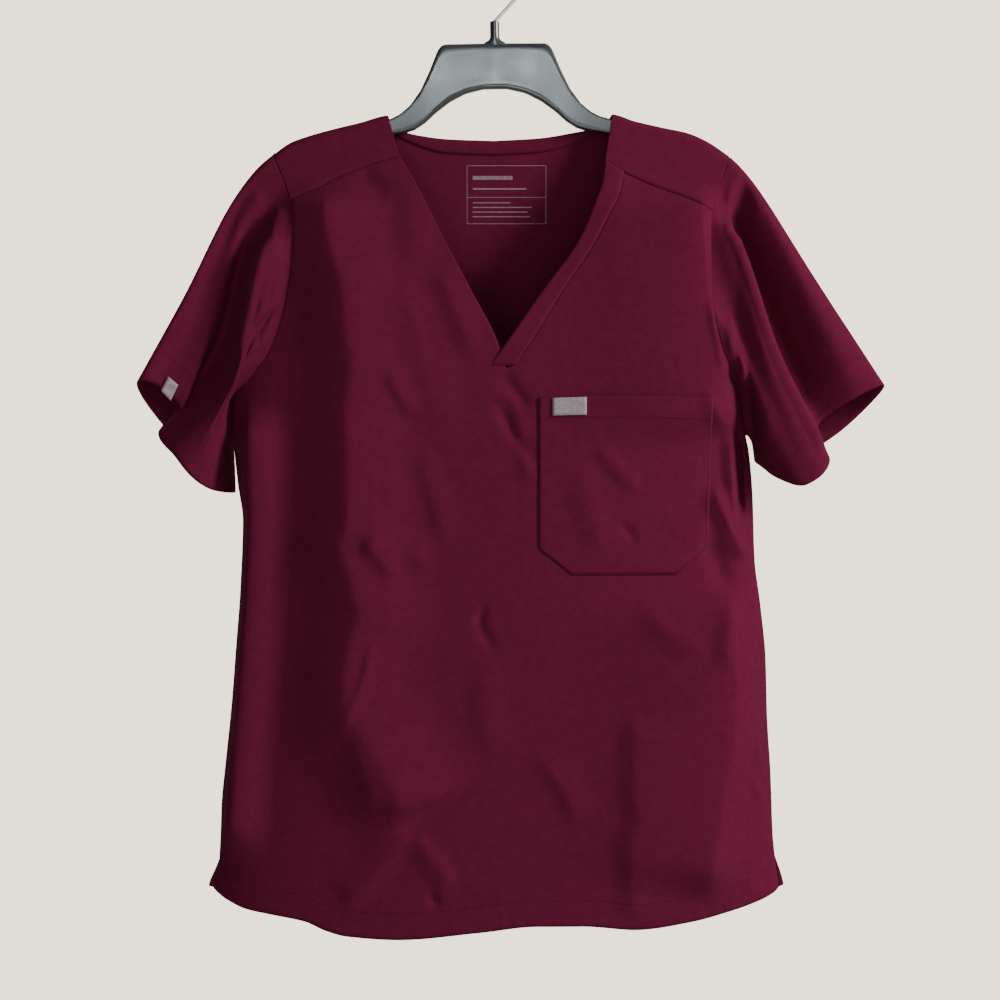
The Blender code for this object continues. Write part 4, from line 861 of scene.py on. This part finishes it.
LEFT_PINCHES = (
    ("ridge_line", 5.0, 0.07, 0.10, 0.04, ((0.05, 0.03), (0.13, 0.10), (0.21, 0.20),
                                           (0.25, 0.36), (0.26, 0.70), (0.26, 1.0))),
    ("valley_line", -5.0, 0.06, 0.10, 0.1, ((0.02, 0.06), (0.07, 0.12), (0.13, 0.24),
                                            (0.15, 0.50), (0.15, 0.94))),
    ("armpit_pleat", 4.4, 0.06, 0.30, 0.06, ((0.80, 0.02), (0.74, 0.13), (0.66, 0.24))),
    ("armpit_hollow", -4.4, 0.05, 0.30, 0.1, ((0.87, 0.02), (0.83, 0.13), (0.73, 0.27))),
    ("armpit_drag", 2.6, 0.06, 0.30, 0.1, ((0.68, 0.03), (0.60, 0.14), (0.50, 0.30))),
)
sleeves = {-1: Sleeve(-1, SLEEVE_RIGHT_GUIDES, RIGHT_PINCHES),
           1: Sleeve(1, SLEEVE_LEFT_GUIDES, LEFT_PINCHES)}
sleeve_grids = {hand: sleeves[hand].grid() for hand in (-1, 1)}


# ---- materials -----------------------------------------------------------------------
def new_material(name, colour, roughness, metallic=0.0):
    material = bpy.data.materials.new(name)
    material.use_nodes = True
    shader = material.node_tree.nodes["Principled BSDF"]
    shader.inputs["Base Color"].default_value = (*colour, 1.0)
    shader.inputs["Roughness"].default_value = roughness
    shader.inputs["Metallic"].default_value = metallic
    material.diffuse_color = (*colour, 1.0)
    return material, material.node_tree, shader


def add_node(tree, kind, **values):
    node = tree.nodes.new(kind)
    for key, value in values.items():
        if hasattr(node, key):
            setattr(node, key, value)
        else:
            node.inputs[key].default_value = value
    return node


def join(tree, source, target, output="Fac", socket="Vector"):
    tree.links.new(source.outputs[output], target.inputs[socket])


def mottled_material(name, colour, roughness, scale, colours, metallic=0.0):
    """A material whose base colour drifts between two colours."""
    material, tree, shader = new_material(name, colour, roughness, metallic)
    where = tree.nodes.new("ShaderNodeTexCoord")
    noise = add_node(tree, "ShaderNodeTexNoise", Scale=scale, Detail=3.0)
    join(tree, where, noise, "Object")
    ramp = tree.nodes.new("ShaderNodeValToRGB")
    for element, place, colour in zip(ramp.color_ramp.elements, (0.35, 0.65), colours):
        element.position = place
        element.color = (*colour, 1.0)
    join(tree, noise, ramp, "Fac", "Fac")
    join(tree, ramp, shader, "Color", "Base Color")
    return material, tree, shader, where


def relief_of(tree, height, strength, distance):
    """A bump node on an output that gives heights."""
    relief = add_node(tree, "ShaderNodeBump", Strength=strength, Distance=distance)
    tree.links.new(height, relief.inputs["Height"])
    return relief


def total_of(tree, outputs):
    total = outputs[0]
    for output in outputs[1:]:
        both = add_node(tree, "ShaderNodeMath", operation="ADD")
        tree.links.new(total, both.inputs[0])
        tree.links.new(output, both.inputs[1])
        total = both.outputs[0]
    return total


def twill_material():
    """Fine stretch twill: two sets of slanting ribs, slubs and a faint rumple."""
    # The burgundy base colour carries a painted haze of reflected light: its green is lifted to
    # stand in for the specular reflection that is turned off below.
    material, tree, shader, where = mottled_material(
        "burgundy_twill", (0.106, 0.0100, 0.0310), 0.72, 160.0,
        ((0.096, 0.0086, 0.0280), (0.106, 0.0100, 0.0310)))
    shader.inputs["Sheen Weight"].default_value = 0.05
    shader.inputs["Sheen Roughness"].default_value = 0.4
    shader.inputs["Sheen Tint"].default_value = (0.75, 0.34, 0.60, 1.0)
    shader.inputs["Specular IOR Level"].default_value = 0.0
    uv = add_node(tree, "ShaderNodeUVMap", uv_map="cloth")
    ribs = []
    for turn in (0.7, -0.95):
        turned = add_node(tree, "ShaderNodeMapping", Rotation=(0.0, 0.0, turn))
        ribs.append(add_node(tree, "ShaderNodeTexWave", Scale=620.0, Distortion=1.2, Detail=1.0))
        join(tree, uv, turned, "UV")
        join(tree, turned, ribs[-1], "Vector")
    slubs = add_node(tree, "ShaderNodeTexNoise", Scale=900.0, Detail=2.0)
    join(tree, uv, slubs, "UV")
    heights = [node.outputs["Fac"] for node in (*ribs, slubs)]
    weave = relief_of(tree, total_of(tree, heights), 0.16, 0.00025)
    rumple = add_node(tree, "ShaderNodeTexNoise", Scale=60.0, Detail=4.0, Roughness=0.6)
    join(tree, where, rumple, "Object")
    soft = relief_of(tree, rumple.outputs["Fac"], 0.12, 0.003)
    join(tree, weave, soft, "Normal", "Normal")
    join(tree, soft, shader, "Normal", "Normal")
    return material


def plastic_material():
    """Dark moulded plastic whose gloss is clouded by scuffs."""
    # The base colour drifts in broad patches between two dark greys as painted clouded reflection on
    # the plate; the scuffs below cloud only its roughness.
    material, tree, shader, where = mottled_material(
        "moulded_plastic", (0.016, 0.018, 0.020), 0.3, 18.0,
        ((0.006, 0.009, 0.012), (0.018, 0.024, 0.029)))
    shader.inputs["Specular IOR Level"].default_value = 0.9
    shader.inputs["Coat Weight"].default_value = 0.8
    shader.inputs["Coat Roughness"].default_value = 0.22
    scuffs = add_node(tree, "ShaderNodeTexNoise", Scale=22.0, Detail=2.0, Roughness=0.5)
    join(tree, where, scuffs, "Object")
    gloss = add_node(tree, "ShaderNodeMapRange")
    gloss.inputs["To Min"].default_value = 0.17
    gloss.inputs["To Max"].default_value = 0.42
    join(tree, scuffs, gloss, "Fac", "Value")
    join(tree, gloss, shader, "Result", "Roughness")
    grain = add_node(tree, "ShaderNodeTexNoise", Scale=700.0, Detail=2.0)
    join(tree, where, grain, "Object")
    relief = relief_of(tree, grain.outputs["Fac"], 0.006, 0.0002)
    join(tree, relief, shader, "Normal", "Normal")
    return material


def label_material():
    """A small bare tab with fine woven ribs."""
    material, tree, shader, where = mottled_material(
        "woven_label", (0.36, 0.30, 0.32), 0.55, 300.0,
        ((0.24, 0.19, 0.21), (0.31, 0.25, 0.27)))
    ribs = add_node(tree, "ShaderNodeTexWave", Scale=900.0, Distortion=0.4)
    join(tree, where, ribs, "Object")
    relief = relief_of(tree, ribs.outputs["Fac"], 0.2, 0.0002)
    join(tree, relief, shader, "Normal", "Normal")
    return material


def thread_material():
    material, _, shader, _ = mottled_material(
        "burgundy_thread", (0.07, 0.003, 0.017), 0.9, 800.0,
        ((0.052, 0.002, 0.013), (0.080, 0.004, 0.021)))
    shader.inputs["Specular IOR Level"].default_value = 0.05
    return material


twill = twill_material()
thread = thread_material()
print_ink = mottled_material("print_ink", (0.20, 0.12, 0.15), 0.7, 500.0,
                             ((0.17, 0.095, 0.12), (0.24, 0.15, 0.18)))[0]
plastic = plastic_material()
steel = mottled_material("drawn_wire", (0.90, 0.90, 0.90), 0.34, 160.0,
                         ((0.84, 0.84, 0.84), (0.94, 0.94, 0.93)), metallic=0.6)[0]
label = label_material()

# ---- cloth pieces --------------------------------------------------------------------
front_cloth = finish_piece(cloth_sheet("front_cloth", [front_grids[-1], front_grids[1]]),
                           twill, ("front_panel",))
back_cloth = finish_piece(cloth_sheet("back_cloth", [back_grids[-1], back_grids[1]]),
                          twill, ("back_panel",))
sleeve_right = finish_piece(cloth_sheet("sleeve_right_cloth", [sleeve_grids[-1]], closed=True),
                            twill, ("sleeve_wearer_right",))
sleeve_left = finish_piece(cloth_sheet("sleeve_left_cloth", [sleeve_grids[1]], closed=True),
                           twill, ("sleeve_wearer_left",))


BAND_LIFT = 0.45        # how far the band lies above the front where it doesn't lap
POCKET_CLOTH_LIFT = 1.1     # and the pocket
BAND_OVER = 1.06        # it runs this share of its width past the sewn edge
LABEL_CLOTH = 0.7


def make_band():
    """The neckband: its edges turn down, and its lower end goes in under the V's point."""
    band_edge = Track(BAND_EDGE)
    across = np.linspace(0.0, BAND_OVER, 10)
    edges = smoothstep(0.0, 0.12, across) * smoothstep(BAND_OVER, 0.9, across)
    grid = []
    for row in front_rows:
        if row > BAND_END:
            break
        free = band_edge.at(row)
        sewn = front_inner[1](row)
        lift = BAND_LIFT + (BAND_LAP - BAND_LIFT) * smoothstep(2.4, 3.2, row)
        lift = lift - (BAND_LAP - 0.1) * smoothstep(BAND_END - 0.35, BAND_END, row)
        x = mix(free[0], sewn[0], across)
        z = mix(free[1], sewn[1], across)
        grid.append(body_points(x, z, -1, lift - 0.5 * (1 - edges)))
    return cloth_sheet("neck_band_cloth", [grid])


band = finish_piece(make_band(), twill, ("neckband",))


def make_facing():
    """The narrow facing inside the back of the neck, in one piece from end to end."""
    rows = [mix(1.0, BACK_NECK, i / 18) for i in range(19)]
    down = np.linspace(0.0, 1.0, 6)
    edges = smoothstep(0.2, 0.0, down) + smoothstep(0.8, 1.0, down)
    grid = []
    for hand, order in ((-1, rows), (1, rows[-2::-1])):
        for row in order:
            x, z = back_inner[hand](row)
            width = mix(FACING_ENDS, FACING_WIDTH, smoothstep(0.7, 2.2, row))
            grid.append(body_points(np.full(len(down), x), z + 0.6 - (width + 1.2) * down, 1,
                                    0.5 * edges - FACING_DROP))
    return cloth_sheet("neck_facing_cloth", [grid], thickness=LABEL_CLOTH)


facing = finish_piece(make_facing(), twill, ("back_neck_facing",))


def pocket_points(x, share, lift):
    """Points of the pocket at a share of its height; its mouth rises and gapes."""
    _, left, right = POCKET_SIDES[0]
    middle = np.sin(math.pi * np.clip((x - left) / (right - left), 0, 1))
    z = POCKET_TOP + MOUTH_RISE * middle * (1 - share) - POCKET_HEIGHT * share
    return body_points(x, z, -1, lift + POCKET_GAPE * middle * (1 - share) ** 6)


def make_pocket():
    """The patch pocket, with its edges turned down to the front and a thicker hem on top."""
    sides = Track(POCKET_SIDES)
    grid = []
    for share in np.linspace(0.0, 1.0, 52):
        left, right = sides.at(share)
        x = mix(left, right, np.linspace(0.0, 1.0, 54))
        inset = np.minimum(np.minimum(x - left, right - x), POCKET_HEIGHT * (1 - share))
        lift = POCKET_CLOTH_LIFT - 0.45 * smoothstep(2.5, 0.0, inset)
        lift = lift + 0.4 * smoothstep(0.20, 0.0, share)
        grid.append(pocket_points(x, share, lift))
    return cloth_sheet("pocket_cloth", [grid])


pocket = finish_piece(make_pocket(), twill, ("chest_pocket",))


def make_pocket_label():
    """A bare tab, sewn flat at the pocket's mouth."""
    grid = []
    for down in np.linspace(0.0, 1.0, 7):
        x = POCKET_TAB["x"] + POCKET_TAB["width"] * np.linspace(0.0, 1.0, 13)
        share = (POCKET_TOP - POCKET_TAB["z"] + POCKET_TAB["height"] * down) / POCKET_HEIGHT
        grid.append(pocket_points(x, np.full(13, share), POCKET_LIFT + 0.9))
    return cloth_sheet("pocket_label_cloth", [grid], thickness=LABEL_CLOTH)


pocket_label = finish_piece(make_pocket_label(), label, ("pocket_label_tab",))


# Corners of the cuff's label: upper left and right, lower left and right, each x, z
CUFF_LABEL = (((-279.0, -368.5), (-270.8, -375.8)), ((-285.2, -381.0), (-277.2, -389.6)))
CUFF_LABEL_LIFT = 1.1


def make_cuff_label():
    """A bare tab that lies just in front of the sleeve's cloth, on its cuff."""
    sleeve = np.array(sleeve_grids[-1]).reshape(-1, 3)
    front = sleeve[sleeve[:, 1] < 4.0]
    corners = np.array(CUFF_LABEL)
    grid = []
    for down in np.linspace(0.0, 1.0, 8):
        row = []
        for across in np.linspace(0.0, 1.0, 6):
            x, z = mix(mix(corners[0, 0], corners[0, 1], across),
                       mix(corners[1, 0], corners[1, 1], across), down)
            near = np.argsort((front[:, 0] - x) ** 2 + (front[:, 2] - z) ** 2)[:4]
            row.append((x, front[near, 1].min() - CUFF_LABEL_LIFT, z))
        grid.append(row)
    return cloth_sheet("cuff_label_cloth", [grid], thickness=0.6)


cuff_label = finish_piece(make_cuff_label(), label, ("sleeve_label_tab",))

# ---- sewing --------------------------------------------------------------------------
STITCH = 2.6            # length of a stitch
STITCH_GAP = 0.9
THREAD = 0.42
STITCH_ENDS = ((0.0, 0.25, -0.25), (0.2, 0.85, 0.2), (0.8, 0.85, 0.2), (1.0, 0.25, -0.25))
#              share of its length, width and height, in threads: both ends dip into the cloth
HEM_STITCH = 22.0       # from the hem or the cuff up to its line of stitches
POCKET_STITCH = 1.8     # from the pocket's edge in to its line of stitches


def stitch_line(name, points, normals, lift=0.45):
    """One line of stitches along a chain of points on the cloth."""
    points, normals = np.asarray(points), np.asarray(normals)
    lengths = np.concatenate([[0.0], np.cumsum(np.linalg.norm(np.diff(points, axis=0), axis=1))])

    def at(length, values):
        return np.array([np.interp(length, lengths, values[:, k]) for k in range(3)])

    shape = bmesh.new()
    place = STITCH_GAP
    while place + STITCH < lengths[-1]:
        start, end = at(place, points), at(place + STITCH, points)
        up = unit(at(place, normals))
        side = np.cross(unit(end - start), up)
        rings = []
        for share, wide, high in STITCH_ENDS:
            half = THREAD * wide / 2
            centre = mix(start, end, share) + up * (lift + high * THREAD)
            rings.append([shape.verts.new((centre + way * half) * MM)
                          for way in (-side, up, side, -up)])
        for a, b in zip(rings, rings[1:]):
            for k in range(4):
                shape.faces.new((a[k], a[(k + 1) % 4], b[(k + 1) % 4], b[k]))
        shape.faces.new(rings[0][::-1])
        shape.faces.new(rings[-1])
        place += STITCH + STITCH_GAP
    bmesh.ops.recalc_face_normals(shape, faces=shape.faces)
    piece = made_of(shape, name)
    shade_smooth(piece)
    return finish_piece(piece, thread)


def sew_hem(name, face, hem_line):
    x = np.linspace(-232.0, 236.0, 240)
    z = hem_line.one(x) + HEM_STITCH
    points = body_points(x, z, face)
    stitch_line(name, points, body_points(x, z, face, 1.0) - points)


def sew_pocket_line(name, x, share, lift):
    points = pocket_points(x, share, lift)
    stitch_line(name, points, pocket_points(x, share, lift + 1.0) - points, 0.5)


def sew_pocket():
    """Down one side of the pocket, along its foot and up the other, and under its mouth."""
    down = np.linspace(0.02, 0.98, 120)
    left, right = Track(POCKET_SIDES).at(down).T
    left, right = left + POCKET_STITCH, right - POCKET_STITCH
    foot = np.linspace(left[-1], right[-1], 50)
    sew_pocket_line("pocket_stitches", np.concatenate([left, foot, right[::-1]]),
                    np.concatenate([down, np.full(50, 0.988), down[::-1]]),
                    POCKET_CLOTH_LIFT)
    mouth = np.linspace(POCKET_SIDES[0][1] + 2, POCKET_SIDES[0][2] - 2, 60)
    sew_pocket_line("pocket_mouth_stitches", mouth, np.full(60, 0.118), 1.3)


def sew_cuff(name, hand):
    """All round the sleeve, on the ring that lies HEM_STITCH above its cuff."""
    grid = np.array(sleeve_grids[hand])
    lengths = np.linalg.norm(np.diff(grid, axis=0), axis=2)[::-1].cumsum(axis=0)
    row = len(grid) - 2 - int(np.argmax(lengths.mean(axis=1) > HEM_STITCH))
    ring = grid[row]
    around = np.roll(ring, -1, axis=0) - np.roll(ring, 1, axis=0)
    normal = np.cross(around, grid[row + 1] - grid[row])
    normal /= np.linalg.norm(normal, axis=1)[:, None]
    if (normal * (ring - ring.mean(axis=0))).sum() < 0:
        normal = -normal
    stitch_line(name, np.vstack([ring, ring[:1]]), np.vstack([normal, normal[:1]]))


sew_hem("front_hem_stitches", -1, front_hem)
sew_hem("back_hem_stitches", 1, back_hem)
sew_pocket()
sew_cuff("right_cuff_stitches", -1)
sew_cuff("left_cuff_stitches", 1)

# ---- the plain print inside the back -------------------------------------------------
PRINT_BOX = (-23.7, 45.5, -231.6, -181.6)   # left, right, bottom, top
PRINT_DIVIDER = -208.8
PRINT_LINE = 0.55
PRINT_INDENT = 5.0
# Its plain dashes: height z, length, width
PRINT_DASHES = ((-192.0, 35.0, 3.4), (-201.5, 47.0, 1.3), (-213.5, 33.0, 0.9),
                (-217.5, 51.6, 0.9), (-221.5, 48.0, 0.9), (-225.5, 50.4, 0.9))
INK = 0.08              # thickness of the ink
INK_LIFT = 0.12


def print_strip(shape, start, end, width):
    """A flat printed bar on the inside of the back, between two (x, z) points."""
    start, end = np.array(start, dtype=float), np.array(end, dtype=float)
    steps = max(2, int(math.dist(start, end) / 4))
    run = unit(end - start)
    side = np.array([-run[1], run[0]]) * width / 2
    previous = None
    for i in range(steps + 1):
        centre = mix(start, end, i / steps)
        pair = [shape.verts.new(body_points(x, z, 1, -(SHELL / 2 + INK_LIFT)) * MM)
                for x, z in (centre + side, centre - side)]
        if previous:
            shape.faces.new((previous[0], previous[1], pair[1], pair[0]))
        previous = pair


def make_print():
    """A frame with a divider and dashes, and no words."""
    shape = bmesh.new()
    left, right, bottom, top = PRINT_BOX
    for z in (top, bottom):
        print_strip(shape, (left, z), (right, z), PRINT_LINE)
    for x in (left, right):
        print_strip(shape, (x, bottom), (x, top), PRINT_LINE)
    print_strip(shape, (left, PRINT_DIVIDER), (right, PRINT_DIVIDER), PRINT_LINE)
    start = left + PRINT_INDENT
    for z, length, width in PRINT_DASHES:
        print_strip(shape, (start, z), (start + length, z), width)
    bmesh.ops.recalc_face_normals(shape, faces=shape.faces)
    for face in shape.faces:
        if face.normal.y > 0:
            face.normal_flip()
    return finish_piece(give_wall(made_of(shape, "care_print"), "ink", INK), print_ink)


make_print()

# ---- hanger --------------------------------------------------------------------------
HANGER_COLUMNS = 120
HANGER_ROWS = 14
UPPER_EDGE = 14         # how tightly the plate rounds over at its upper edge
LOWER_EDGE = 26         # and at its lower one: more is tighter
DISH = 0.9              # how far the plate is hollowed towards its shoulders
STEM_STEPS = ((2.0, 1.05), (2.0, 1.35), (2.0, 1.6), (6.0, 1.2))   # drop, growth in width
STEM_DEPTH = 12.0


def tilted(u, z):
    """A point of the hanger's upright frame as it hangs."""
    middle = -HOOK_INNER
    return (u * math.cos(HANGER_TILT) - (z - middle) * math.sin(HANGER_TILT),
            middle + u * math.sin(HANGER_TILT) + (z - middle) * math.cos(HANGER_TILT))


def along_line(points, share):
    """The point at a share of a line's length."""
    points = np.array(points, dtype=float)
    lengths = np.concatenate([[0.0], np.cumsum(np.linalg.norm(np.diff(points, axis=0), axis=1))])
    lengths /= lengths[-1]
    return np.array([np.interp(share, lengths, points[:, k]) for k in (0, 1)])


def make_hanger_plate():
    """A grid bent to the hanger's outline, rounded over at its edges, and its mirror behind."""
    top = [(0.0, HANGER_TOP[0][1])] + list(HANGER_TOP)
    bottom = [(0.0, HANGER_BOTTOM[-1][1])] + list(HANGER_BOTTOM)[::-1]
    bpy.ops.mesh.primitive_grid_add(x_subdivisions=HANGER_COLUMNS, y_subdivisions=HANGER_ROWS,
                                    size=2.0)
    plate = bpy.context.object
    plate.name = "hanger_plate"
    for vert in plate.data.vertices:
        along, up = vert.co.x, (vert.co.y + 1) / 2
        high = along_line(top, abs(along))
        low = along_line(bottom, abs(along))
        # rows crowd towards the rounded edges
        spread = 0.5 - 0.5 * math.cos(math.pi * up)
        u, z = mix(low, high, spread)
        x, z = tilted(math.copysign(u, along), z)
        tightness = LOWER_EDGE if spread < 0.5 else UPPER_EDGE
        rounding = (1 - abs(2 * spread - 1) ** tightness) ** 0.5
        dish = DISH * math.exp(-((abs(along) - 0.10) / 0.16) ** 2) * math.sin(math.pi * up)
        vert.co = Vector((x, -(HANGER_THICKNESS / 2) * rounding + dish, z)) * MM
    bpy.ops.object.mode_set(mode="EDIT")
    bpy.ops.mesh.select_all(action="SELECT")
    bpy.ops.mesh.extrude_region_move(TRANSFORM_OT_translate={"value": (0.0, 0.0, 0.0)})
    bpy.ops.object.mode_set(mode="OBJECT")
    for vert in plate.data.vertices:
        if vert.select:
            vert.co.y = max(-vert.co.y, 0.2 * MM)
    bpy.ops.object.mode_set(mode="EDIT")
    bpy.ops.mesh.select_all(action="SELECT")
    bpy.ops.mesh.remove_doubles(threshold=0.01 * MM)
    bpy.ops.mesh.normals_make_consistent(inside=False)
    bpy.ops.object.mode_set(mode="OBJECT")
    shade_smooth(plate)
    return plate


def select_faces(piece, wanted):
    """In edit mode, selects the faces whose normals are wanted."""
    shape = bmesh.from_edit_mesh(piece.data)
    for face in shape.faces:
        face.select = wanted(face.normal)
    bmesh.update_edit_mesh(piece.data)


def make_stem():
    """The stem that holds the wire, which widens into the plate."""
    bpy.ops.mesh.primitive_cylinder_add(vertices=32, radius=STEM_RADIUS * MM,
                                        depth=STEM_DEPTH * MM,
                                        location=(0.0, 0.0, (STEM_TOP - STEM_DEPTH / 2) * MM))
    stem = bpy.context.object
    stem.name = "hanger_stem"
    bpy.ops.object.transform_apply(location=True, rotation=False, scale=False)
    bpy.ops.object.mode_set(mode="EDIT")
    select_faces(stem, lambda normal: normal.z < -0.9)
    for drop, wide in STEM_STEPS:
        bpy.ops.mesh.extrude_region_move(TRANSFORM_OT_translate={"value": (0, 0, -drop * MM)})
        bpy.ops.transform.resize(value=(wide, 1.0, 1.0))
    bpy.ops.mesh.select_all(action="DESELECT")
    select_faces(stem, lambda normal: normal.z > 0.9)
    bpy.ops.mesh.inset(thickness=0.9 * MM)
    bpy.ops.transform.translate(value=(0.0, 0.0, 0.7 * MM))
    bpy.ops.mesh.inset(thickness=1.2 * MM)
    bpy.ops.mesh.extrude_region_move(TRANSFORM_OT_translate={"value": (0, 0, -5.0 * MM)})
    bpy.ops.object.mode_set(mode="OBJECT")
    for vert in stem.data.vertices:
        x, z = tilted(vert.co.x / MM, vert.co.z / MM)
        vert.co.x = x * MM
        vert.co.z = z * MM
    bpy.ops.object.shade_smooth_by_angle(angle=math.radians(35))
    return stem


deselect()
plate = make_hanger_plate()
deselect()
stem = make_stem()
deselect()
finish_piece(plate, plastic, ("hanger_body",))
finish_piece(stem, plastic)


def make_wire():
    """The hook's wire: out of the stem, leaning to one side, and round the crown."""
    lean = math.radians(HOOK_LEAN)
    centre = (0.0, -HOOK_INNER)
    bend = STEM_TOP - 1.0
    points = [(0.0, STEM_TOP - 14.0), (0.0, bend)]
    for step in range(1, 9):
        turn = lean * step / 8
        points.append((HOOK_BEND * (1 - math.cos(turn)), bend + HOOK_BEND * math.sin(turn)))
    start = math.atan2(HOOK_LEG[1] - centre[1], HOOK_LEG[0])
    for step in range(61):
        angle = mix(start, math.radians(HOOK_END), step / 60)
        points.append((centre[0] + HOOK_RADIUS * math.cos(angle),
                       centre[1] + HOOK_RADIUS * math.sin(angle)))
    curve = bpy.data.curves.new("hook_wire", "CURVE")
    curve.dimensions = "3D"
    curve.bevel_depth = WIRE / 2 * MM
    curve.bevel_resolution = 5
    curve.use_fill_caps = True
    line = curve.splines.new("POLY")
    line.points.add(len(points) - 1)
    for point, place in zip(line.points, points):
        x, z = tilted(*place)
        point.co = (x * MM, 0.0, z * MM, 1.0)
    wire = bpy.data.objects.new("hook_wire", curve)
    bpy.context.scene.collection.objects.link(wire)
    wire.select_set(True)
    bpy.context.view_layer.objects.active = wire
    bpy.ops.object.convert(target="MESH")
    wire = bpy.context.object
    shade_smooth(wire)
    wire.select_set(False)
    return wire


finish_piece(make_wire(), steel, ("hanger_hook",))

# ---- floor, light and camera ---------------------------------------------------------
FLOOR = -1.9


def make_floor():
    """A pale round floor, well below the hem."""
    bpy.ops.mesh.primitive_circle_add(vertices=96, radius=2.6, fill_type="NGON",
                                      location=(0.0, 0.0, FLOOR))
    floor = bpy.context.object
    floor.name = "floor"
    floor.data.materials.append(new_material("pale_floor", (0.78, 0.77, 0.74), 0.6)[0])
    floor.select_set(False)


make_floor()


def area_light(name, place, aim, size, power, colour):
    data = bpy.data.lights.new(name, "AREA")
    data.shape = "RECTANGLE"
    data.size, data.size_y = size
    data.energy = power
    data.color = colour
    lamp = bpy.data.objects.new(name, data)
    lamp.location = place
    direction = Vector(aim) - Vector(place)
    lamp.rotation_euler = direction.to_track_quat("-Z", "Y").to_euler()
    bpy.context.scene.collection.objects.link(lamp)


area_light("window", (1.82, -0.95, 0.36), (0.0, 0.0, -0.45), (0.5, 0.8), 56.0, (1.0, 0.985, 0.98))
area_light("fill", (-0.5, -2.4, -1.0), (0.0, 0.0, -0.5), (1.2, 0.8), 10.0, (0.93, 0.98, 1.0))
area_light("lamp", (0.0, -2.5, 0.47), (0.0, 0.0, -0.10), (0.26, 0.12), 4.5, (0.86, 0.97, 1.0))

WALL_GLOW = (2.65, 2.40, 1.85, 1.0)     # the pale wall that the top hangs before
ROOM_DARK_SIDE = (0.105, 0.098, 0.105, 1.0)     # the room in front of it, to the left
ROOM_BRIGHT_SIDE = (0.46, 0.45, 0.45, 1.0)      # and towards the window


def make_world():
    """A glowing wall behind the top, in a room that is darker to the left and below."""
    world = bpy.data.worlds.new("pale_room")
    world.use_nodes = True
    tree = world.node_tree
    where = tree.nodes.new("ShaderNodeTexCoord")
    parts = tree.nodes.new("ShaderNodeSeparateXYZ")
    tree.links.new(where.outputs["Generated"], parts.inputs["Vector"])

    def along(axis, start, end, low, high):
        node = add_node(tree, "ShaderNodeMapRange", interpolation_type="SMOOTHSTEP")
        for name, value in (("From Min", start), ("From Max", end), ("To Min", low),
                            ("To Max", high)):
            node.inputs[name].default_value = value
        tree.links.new(parts.outputs[axis], node.inputs["Value"])
        return node.outputs["Result"]

    def blended(share, first, second):
        node = add_node(tree, "ShaderNodeMix", data_type="RGBA")
        tree.links.new(share, node.inputs["Factor"])
        for socket, colour in zip([s for s in node.inputs if s.type == "RGBA"],
                                  (first, second)):
            if isinstance(colour, tuple):
                socket.default_value = colour
            else:
                tree.links.new(colour, socket)
        return [out for out in node.outputs if out.type == "RGBA"][0]

    room = blended(along("X", -0.7, 0.7, 0.0, 1.0), ROOM_DARK_SIDE, ROOM_BRIGHT_SIDE)
    colour = blended(along("Y", 0.80, 0.935, 0.0, 1.0), room, WALL_GLOW)
    background = tree.nodes["Background"]
    tree.links.new(colour, background.inputs["Color"])
    tree.links.new(along("Z", -0.8, -0.3, 0.35, 1.0), background.inputs["Strength"])
    bpy.context.scene.world = world


make_world()

CAMERA_AIM = Vector((0.0052, 0.0, -0.4745))
CAMERA_DISTANCE = 1.7
FRAME_WIDTH = 0.87      # metres of the frame's width at the hanger's plane
SENSOR = 36.0
camera_data = bpy.data.cameras.new("camera")
camera_data.sensor_width = SENSOR
camera_data.lens = SENSOR * CAMERA_DISTANCE / FRAME_WIDTH
camera = bpy.data.objects.new("camera", camera_data)
camera.location = CAMERA_AIM + Vector((0.0, -CAMERA_DISTANCE, 0.0))
camera.rotation_euler = (math.pi / 2, 0.0, 0.0)
bpy.context.scene.collection.objects.link(camera)
bpy.context.scene.camera = camera
